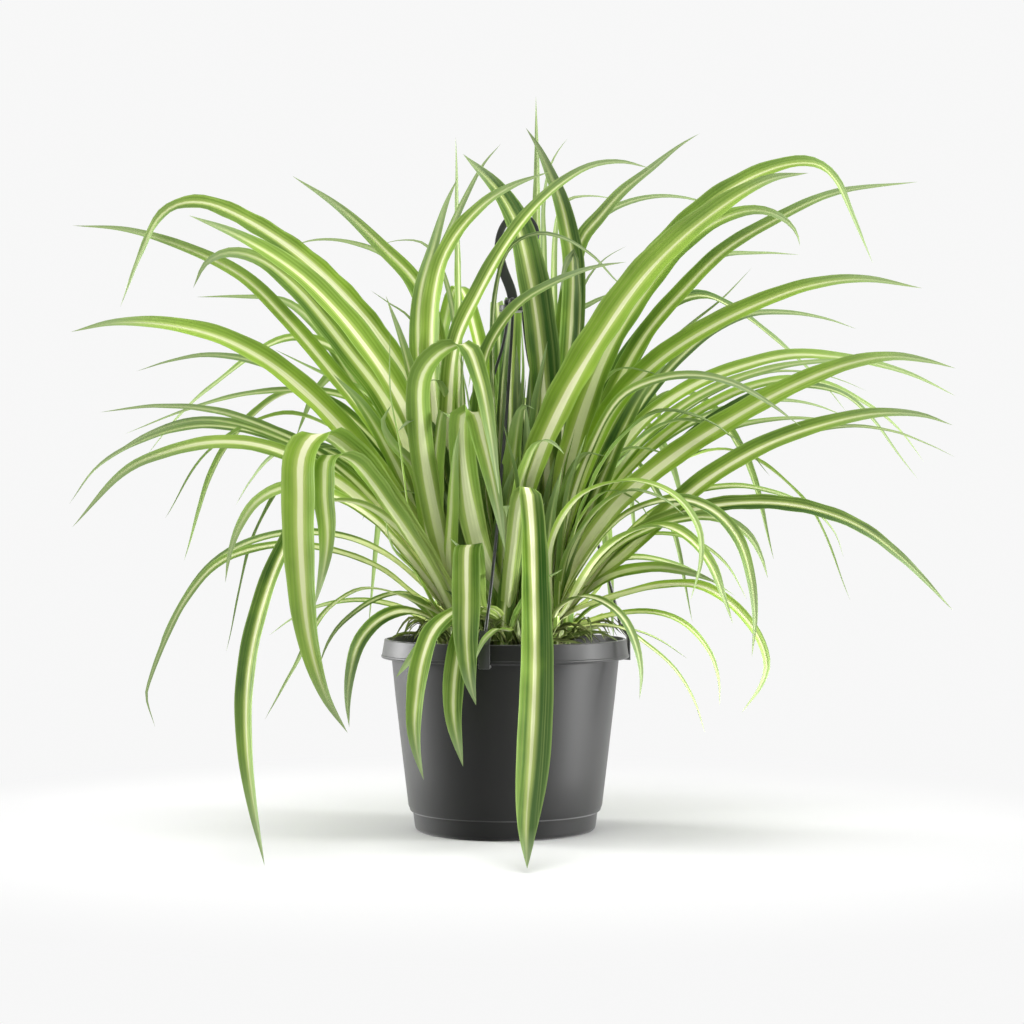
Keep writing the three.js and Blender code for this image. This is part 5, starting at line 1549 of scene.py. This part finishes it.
@dataclass(frozen=True)
class Hanger:
    """The clip-on hanger: an open hook on a strap, a hub disc and three strands with clips."""

    hub: Span = (6.0, 355.0)
    hub_radius: float = 10.2
    hub_thickness: float = 4.0
    hub_sides: int = 72
    hole_circle: float = 6.5
    hole_radius: float = 1.8
    hole_sides: int = 24
    strand_radius: float = 1.1
    strand_sides: int = 12
    strand_step: float = 4.0
    strand_side: Triple = (0.3, 1.0, 0.0)
    neck: float = 4.0
    head_radius: float = 2.4
    gap: float = 0.3
    thickness: float = 3.4
    squareness: float = 0.45
    strap_width: float = 7.0
    hook_width: float = 4.6
    narrowing: Span = (0.25, 0.45)
    middle: Profile = (
        *((6, 356), (4, 369), (-2, 385), (-4.6, 397), (-3.4, 409)),
        *((2.5, 418.5), (10.5, 421), (18, 416.5), (21.2, 408.5), (19, 400)),
    )
    hook_steps: int = 72
    hook_sides: int = 24
    clip_width: float = 7.3
    clip_edge: float = 0.35
    clip_section: Profile = (
        *((80.3, 115.9), (86.9, 115.4), (86.9, 131.0), (81.2, 140.5)),
        *((79.4, 139.2), (85.3, 131.9), (85.3, 117.7), (80.3, 117.7)),
    )
    foot: Span = (80.6, 139.2)
    crease: float = 35.0

    def _hole(self, strand: Strand) -> Vector:
        """Find the middle of a strand's hole, on the hub's underside."""
        angle = math.radians(strand.clip)
        across, up = self.hub
        reach = self.hole_circle
        return Vector((across + reach * math.cos(angle), reach * math.sin(angle), up))

    def _strap_at(self, share: float) -> tuple[Vector, Vector]:
        """Find the middle and the heading of the strap and hook, at a share of its points."""
        last = len(self.middle) - 1
        index = min(int(share * last), last - 1)
        t = share * last - index
        picked = [min(max(index + i, 0), last) for i in (-1, 0, 1, 2)]
        before, start, stop, after = (Vector(self.middle[i]) for i in picked)
        leaving, arriving = (stop - before) / 2, (after - start) / 2
        cubic = 2 * (start - stop) + leaving + arriving
        square = 3 * (stop - start) - 2 * leaving - arriving
        place = cubic * t**3 + square * t**2 + leaving * t + start
        return place, (cubic * 3 * t**2 + square * 2 * t + leaving).normalized()

    def _wrap_strap(self, mesh: Mesh) -> None:
        """Sweep the strap's rounded section along its curve into the hook."""
        skin = Skin(mesh, self.hook_sides, self.hook_steps)
        for turn, ring, vert in skin.cells:
            share = ring / self.hook_steps
            place, heading = self._strap_at(share)
            narrow = smooth_share(share, *self.narrowing)
            half = between(self.strap_width, self.hook_width, narrow) / 2
            outwards, depth = (
                size * math.copysign(abs(part) ** self.squareness, part)
                for size, part in (
                    (half, math.cos(math.tau * turn)),
                    (self.thickness / 2, math.sin(math.tau * turn)),
                )
            )
            right, up = place.x - heading.y * outwards, place.y + heading.x * outwards
            vert.co = Vector((right, depth, up)) * MM
        skin.close()

    def _stamp_hub(self, mesh: Mesh, strands: tuple[Strand, ...]) -> None:
        """Make the hub disc, with a hole for each strand."""
        across, up = self.hub
        disc = bmesh.new()
        for place, radius, sides in (
            (Vector((across, 0, up)), self.hub_radius, self.hub_sides),
            *((self._hole(strand), self.hole_radius, self.hole_sides) for strand in strands),
        ):
            middle = Matrix.Translation(place * MM)
            bmesh.ops.create_circle(disc, segments=sides, radius=radius * MM, matrix=middle)
        bmesh.ops.triangle_fill(disc, use_beauty=True, edges=disc.edges[:])
        extrude(disc, (0, 0, self.hub_thickness * MM))
        bmesh.ops.recalc_face_normals(disc, faces=disc.faces)
        append_mesh(mesh, disc)

    def build_hook(self, strands: tuple[Strand, ...], plastic: Material) -> None:
        """Build the hook, its strap and the hub disc."""
        mesh = bmesh.new()
        self._wrap_strap(mesh)
        self._stamp_hub(mesh, strands)
        finish_piece(mesh, "hook_moulding", plastic, "hanger_hook", self.crease)

    def build_strand(self, strand: Strand, plastic: Material) -> None:
        """Build one strand, with its head over the hub and its clip on the collar."""
        hole = self._hole(strand)
        angle = math.radians(strand.clip)
        head = hole + Vector((0, 0, self.hub_thickness + self.gap + self.head_radius))
        radius, height = self.foot
        points = [head, hole, hole - Vector((0, 0, self.neck))]
        points += [Vector((across, -depth, up)) for across, depth, up in strand.route]
        points.append(polar(radius, angle, height))
        mesh = bmesh.new()
        self._wrap_strand(mesh, Route(points))
        ball = {"radius": self.head_radius * MM, "matrix": Matrix.Translation(head * MM)}
        bmesh.ops.create_uvsphere(mesh, u_segments=20, v_segments=12, **ball)
        self._press_clip(mesh, angle)
        node = f"hanger_strand_{strand.name}"
        finish_piece(mesh, f"strand_{strand.name}", plastic, node, self.crease)

    def _wrap_strand(self, mesh: Mesh, route: Route) -> None:
        """Sweep the strand's round section along its way."""
        rings = round(route.length / self.strand_step)
        skin = Skin(mesh, self.strand_sides, rings)
        for turn, ring, vert in skin.cells:
            heading = route.heading(ring / rings)
            side = heading.cross(Vector(self.strand_side)).normalized()
            outwards = side * math.cos(math.tau * turn)
            outwards += heading.cross(side) * math.sin(math.tau * turn)
            vert.co = (route.at(ring / rings) + outwards * self.strand_radius) * MM
        skin.close()

    def _press_clip(self, mesh: Mesh, angle: float) -> None:
        """Extrude the clip's section, and round its edges."""
        clip = bmesh.new()
        half = self.clip_width / 2
        clip.faces.new([clip.verts.new((r * MM, -half * MM, z * MM)) for r, z in self.clip_section])
        extrude(clip, (0, self.clip_width * MM, 0))
        round_edges(clip, clip.edges[:], self.clip_edge)
        bmesh.ops.recalc_face_normals(clip, faces=clip.faces)
        bmesh.ops.rotate(clip, verts=clip.verts, matrix=Matrix.Rotation(angle, 3, "Z"))
        append_mesh(mesh, clip)


# ---------- studio ----------


@dataclass(frozen=True)
class Studio:
    """A pale seamless floor, a bright room, soft lights, a kicker and the photograph's camera.

    Places and sizes are in metres here, and powers in watts.
    """

    floor_radius: float = 3.4
    floor_sides: int = 96
    overhead: float = 0.32
    behind_camera: float = 0.2
    wall_reach: Span = (-0.9, -0.2)
    wall_rise: Span = (0.03, 0.2)
    ceiling_rise: Span = (0.3, 0.75)
    lamps: tuple[tuple[Lamp, Triple, Span, float], ...] = (
        (Lamp.LEFT, (-1.4, 0.46, 0.31), (0.54, 0.6), 34.0),
        (Lamp.RIGHT, (1.5, -0.24, 0.27), (0.5, 0.52), 29.0),
        (Lamp.TOP, (0.1, -0.4, 1.9), (1.0, 1.0), 21.0),
        (Lamp.FRONT, (-0.9, -1.5, 1.3), (0.8, 0.8), 5.0),
        (Lamp.BACK, (0.2, 1.5, 1.3), (1.2, 1.2), 3.0),
    )
    aim: Triple = (0.0, 0.0, 0.2)
    kicker_place: Triple = (1.46, -0.34, 0.07)
    kicker_aim: Triple = (0.03, 0.0, 0.055)
    kicker_beam: float = 9.5
    kicker_blend: float = 0.6
    kicker_power: float = 165.0
    kicker_radius: float = 0.1
    eye: Eye = Eye()

    def build(self, paper: Material) -> None:
        """Build floor, room, lights and camera."""
        mesh = bmesh.new()
        form = {"cap_ends": True, "segments": self.floor_sides, "radius": self.floor_radius}
        bmesh.ops.create_circle(mesh, **form)
        data = mesh_data(mesh, "floor")
        data.materials.append(paper)
        floor = scene_object("floor", data)
        self._light_room()
        for lamp in self.lamps:
            self._hang(*lamp)
        self._aim_kicker()
        self._stand_camera()

    def _light_room(self) -> None:
        """Light the room evenly all round, and less from overhead and high behind the camera."""
        world = bpy.data.worlds.new("studio_room")
        world.use_nodes = True
        world.node_tree.nodes.clear()
        add = partial(add_node, world.node_tree)
        facing = add("TexCoord", out="Generated")
        depth, rise = (add("SeparateXYZ", (facing,), out=axis) for axis in (1, 2))
        walls = (depth, *self.wall_reach, self.behind_camera, ROOM_LIGHT)
        level = ROOM_LIGHT
        for reach, above in (
            (self.wall_rise, add("MapRange", walls, **SMOOTH)),
            (self.ceiling_rise, self.overhead),
        ):
            level = add("MapRange", (rise, *reach, level, above), **SMOOTH)
        add("OutputWorld", {"Surface": add("Background", ((1, 1, 1, 1), level))})
        bpy.context.scene.world = world

    def _hang(self, lamp: Lamp, place: Triple, size: Span, power: float) -> None:
        """Hang one soft oblong light that faces the plant.

        Args:
            lamp: Which light it is.
            place: Where it hangs.
            size: Its width and height.
            power: Its power.
        """
        data = bpy.data.lights.new(f"light_{lamp.value}", "AREA")
        data.shape = "RECTANGLE"
        data.size, data.size_y = size
        data.energy = power
        self._point(data, place, self.aim)

    def _aim_kicker(self) -> None:
        """Aim the narrow light that grazes the pot's right side under the leaves."""
        data = bpy.data.lights.new("light_kicker", "SPOT")
        data.energy = self.kicker_power
        data.spot_size = math.radians(self.kicker_beam)
        data.spot_blend = self.kicker_blend
        data.shadow_soft_size = self.kicker_radius
        self._point(data, self.kicker_place, self.kicker_aim)

    @staticmethod
    def _point(data: bpy.types.Light, place: Triple, aim: Triple) -> None:
        """Put a light at its place, and point it at what it faces."""
        thing = scene_object(data.name, data)
        thing.location = place
        way = Vector(aim) - Vector(place)
        thing.rotation_euler = way.to_track_quat("-Z", "Y").to_euler()

    def _stand_camera(self) -> None:
        """Stand the camera level in front of the pot, where the photograph was taken."""
        data = bpy.data.cameras.new("camera")
        data.lens, data.sensor_width = self.eye.lens, self.eye.sensor
        camera = scene_object("camera", data)
        camera.location = Vector((self.eye.across, -self.eye.distance, self.eye.up)) * MM
        camera.rotation_euler = (math.pi / 2, 0, 0)
        bpy.context.scene.camera = camera


# ---------- the whole plant ----------

GREY = MouldedPolypropylene(
    "polypropylene_moulded_anthracite", "#0b0b0b", "#181816", 0.48, specular=0.32, dust=0.3
)
# The hanger's greys are lighter than its black plastic: they paint part of the grey reflection
# along its strap.
BLACK = MouldedPolypropylene(
    "polypropylene_moulded_black", "#1c1e1e", "#353837", 0.36, specular=0.6, dust=0.4
)

# Name, the clip's angle in degrees, and the way as across, towards the front, up.
STRANDS = (
    Strand(
        "front", -99, ((3.2, 15, 320), (1, 28, 285), (-2, 41, 250), (-5, 55, 210), (-9.5, 71, 165))
    ),
    Strand(
        "right", 9, ((17.5, -2, 316), (30, -4, 285), (50, -7, 235), (64, -9, 195), (74.5, -11, 160))
    ),
    Strand(
        "back_left",
        135,
        ((-1, -6, 335), (-12, -16, 300), (-27, -29, 250), (-42, -43, 200), (-52, -53, 162)),
    ),
)

# Name, direction in degrees, middle of its leaves' reach to the front, and its filling.
ROSETTES = (
    ("left_front", -150, 80, Filling(4, -160, 90, (25, 70), (90, 190), (0, 12))),
    ("front", -90, 85, Filling(4, -90, 110, (20, 60), (80, 170), (0, 12))),
    ("right_front", -30, 75, Filling(6, -15, 90, (55, 130), (90, 200), (0, 25))),
    ("left_back", 150, -65, Filling(6, 142, 80, (140, 250), (120, 210), (30, 150))),
    ("right_back", 30, -65, Filling(6, 38, 80, (140, 250), (120, 210), (30, 150))),
    ("back", 90, -120, Filling(13, 90, 105, (60, 260), (120, 270), (20, 190))),
)


def main() -> None:
    """Build the dressed plant, its pot and hanger, and the studio round them."""
    logging.basicConfig(level=logging.INFO, format="%(name)s: %(message)s")
    bpy.context.scene.view_settings.view_transform = "Standard"
    Studio().build(StudioFloor().material())
    Pot().build(GREY.material())
    Soil().build(PeatSoil().material())
    hanger, black = Hanger(), BLACK.material()
    hanger.build_hook(STRANDS, black)
    for strand in STRANDS:
        hanger.build_strand(strand, black)
    leaf = StripedLeaf().material()
    rosettes = [Rosette(*values) for values in ROSETTES]
    for rosette in rosettes:
        rosette.build(leaf)
    YoungLeaves().build(leaf)
    SheathBundle().build(rosettes, LeafSheath().material())
    Litter().build(DryLeaf().material())


if __name__ == "__main__":
    main()
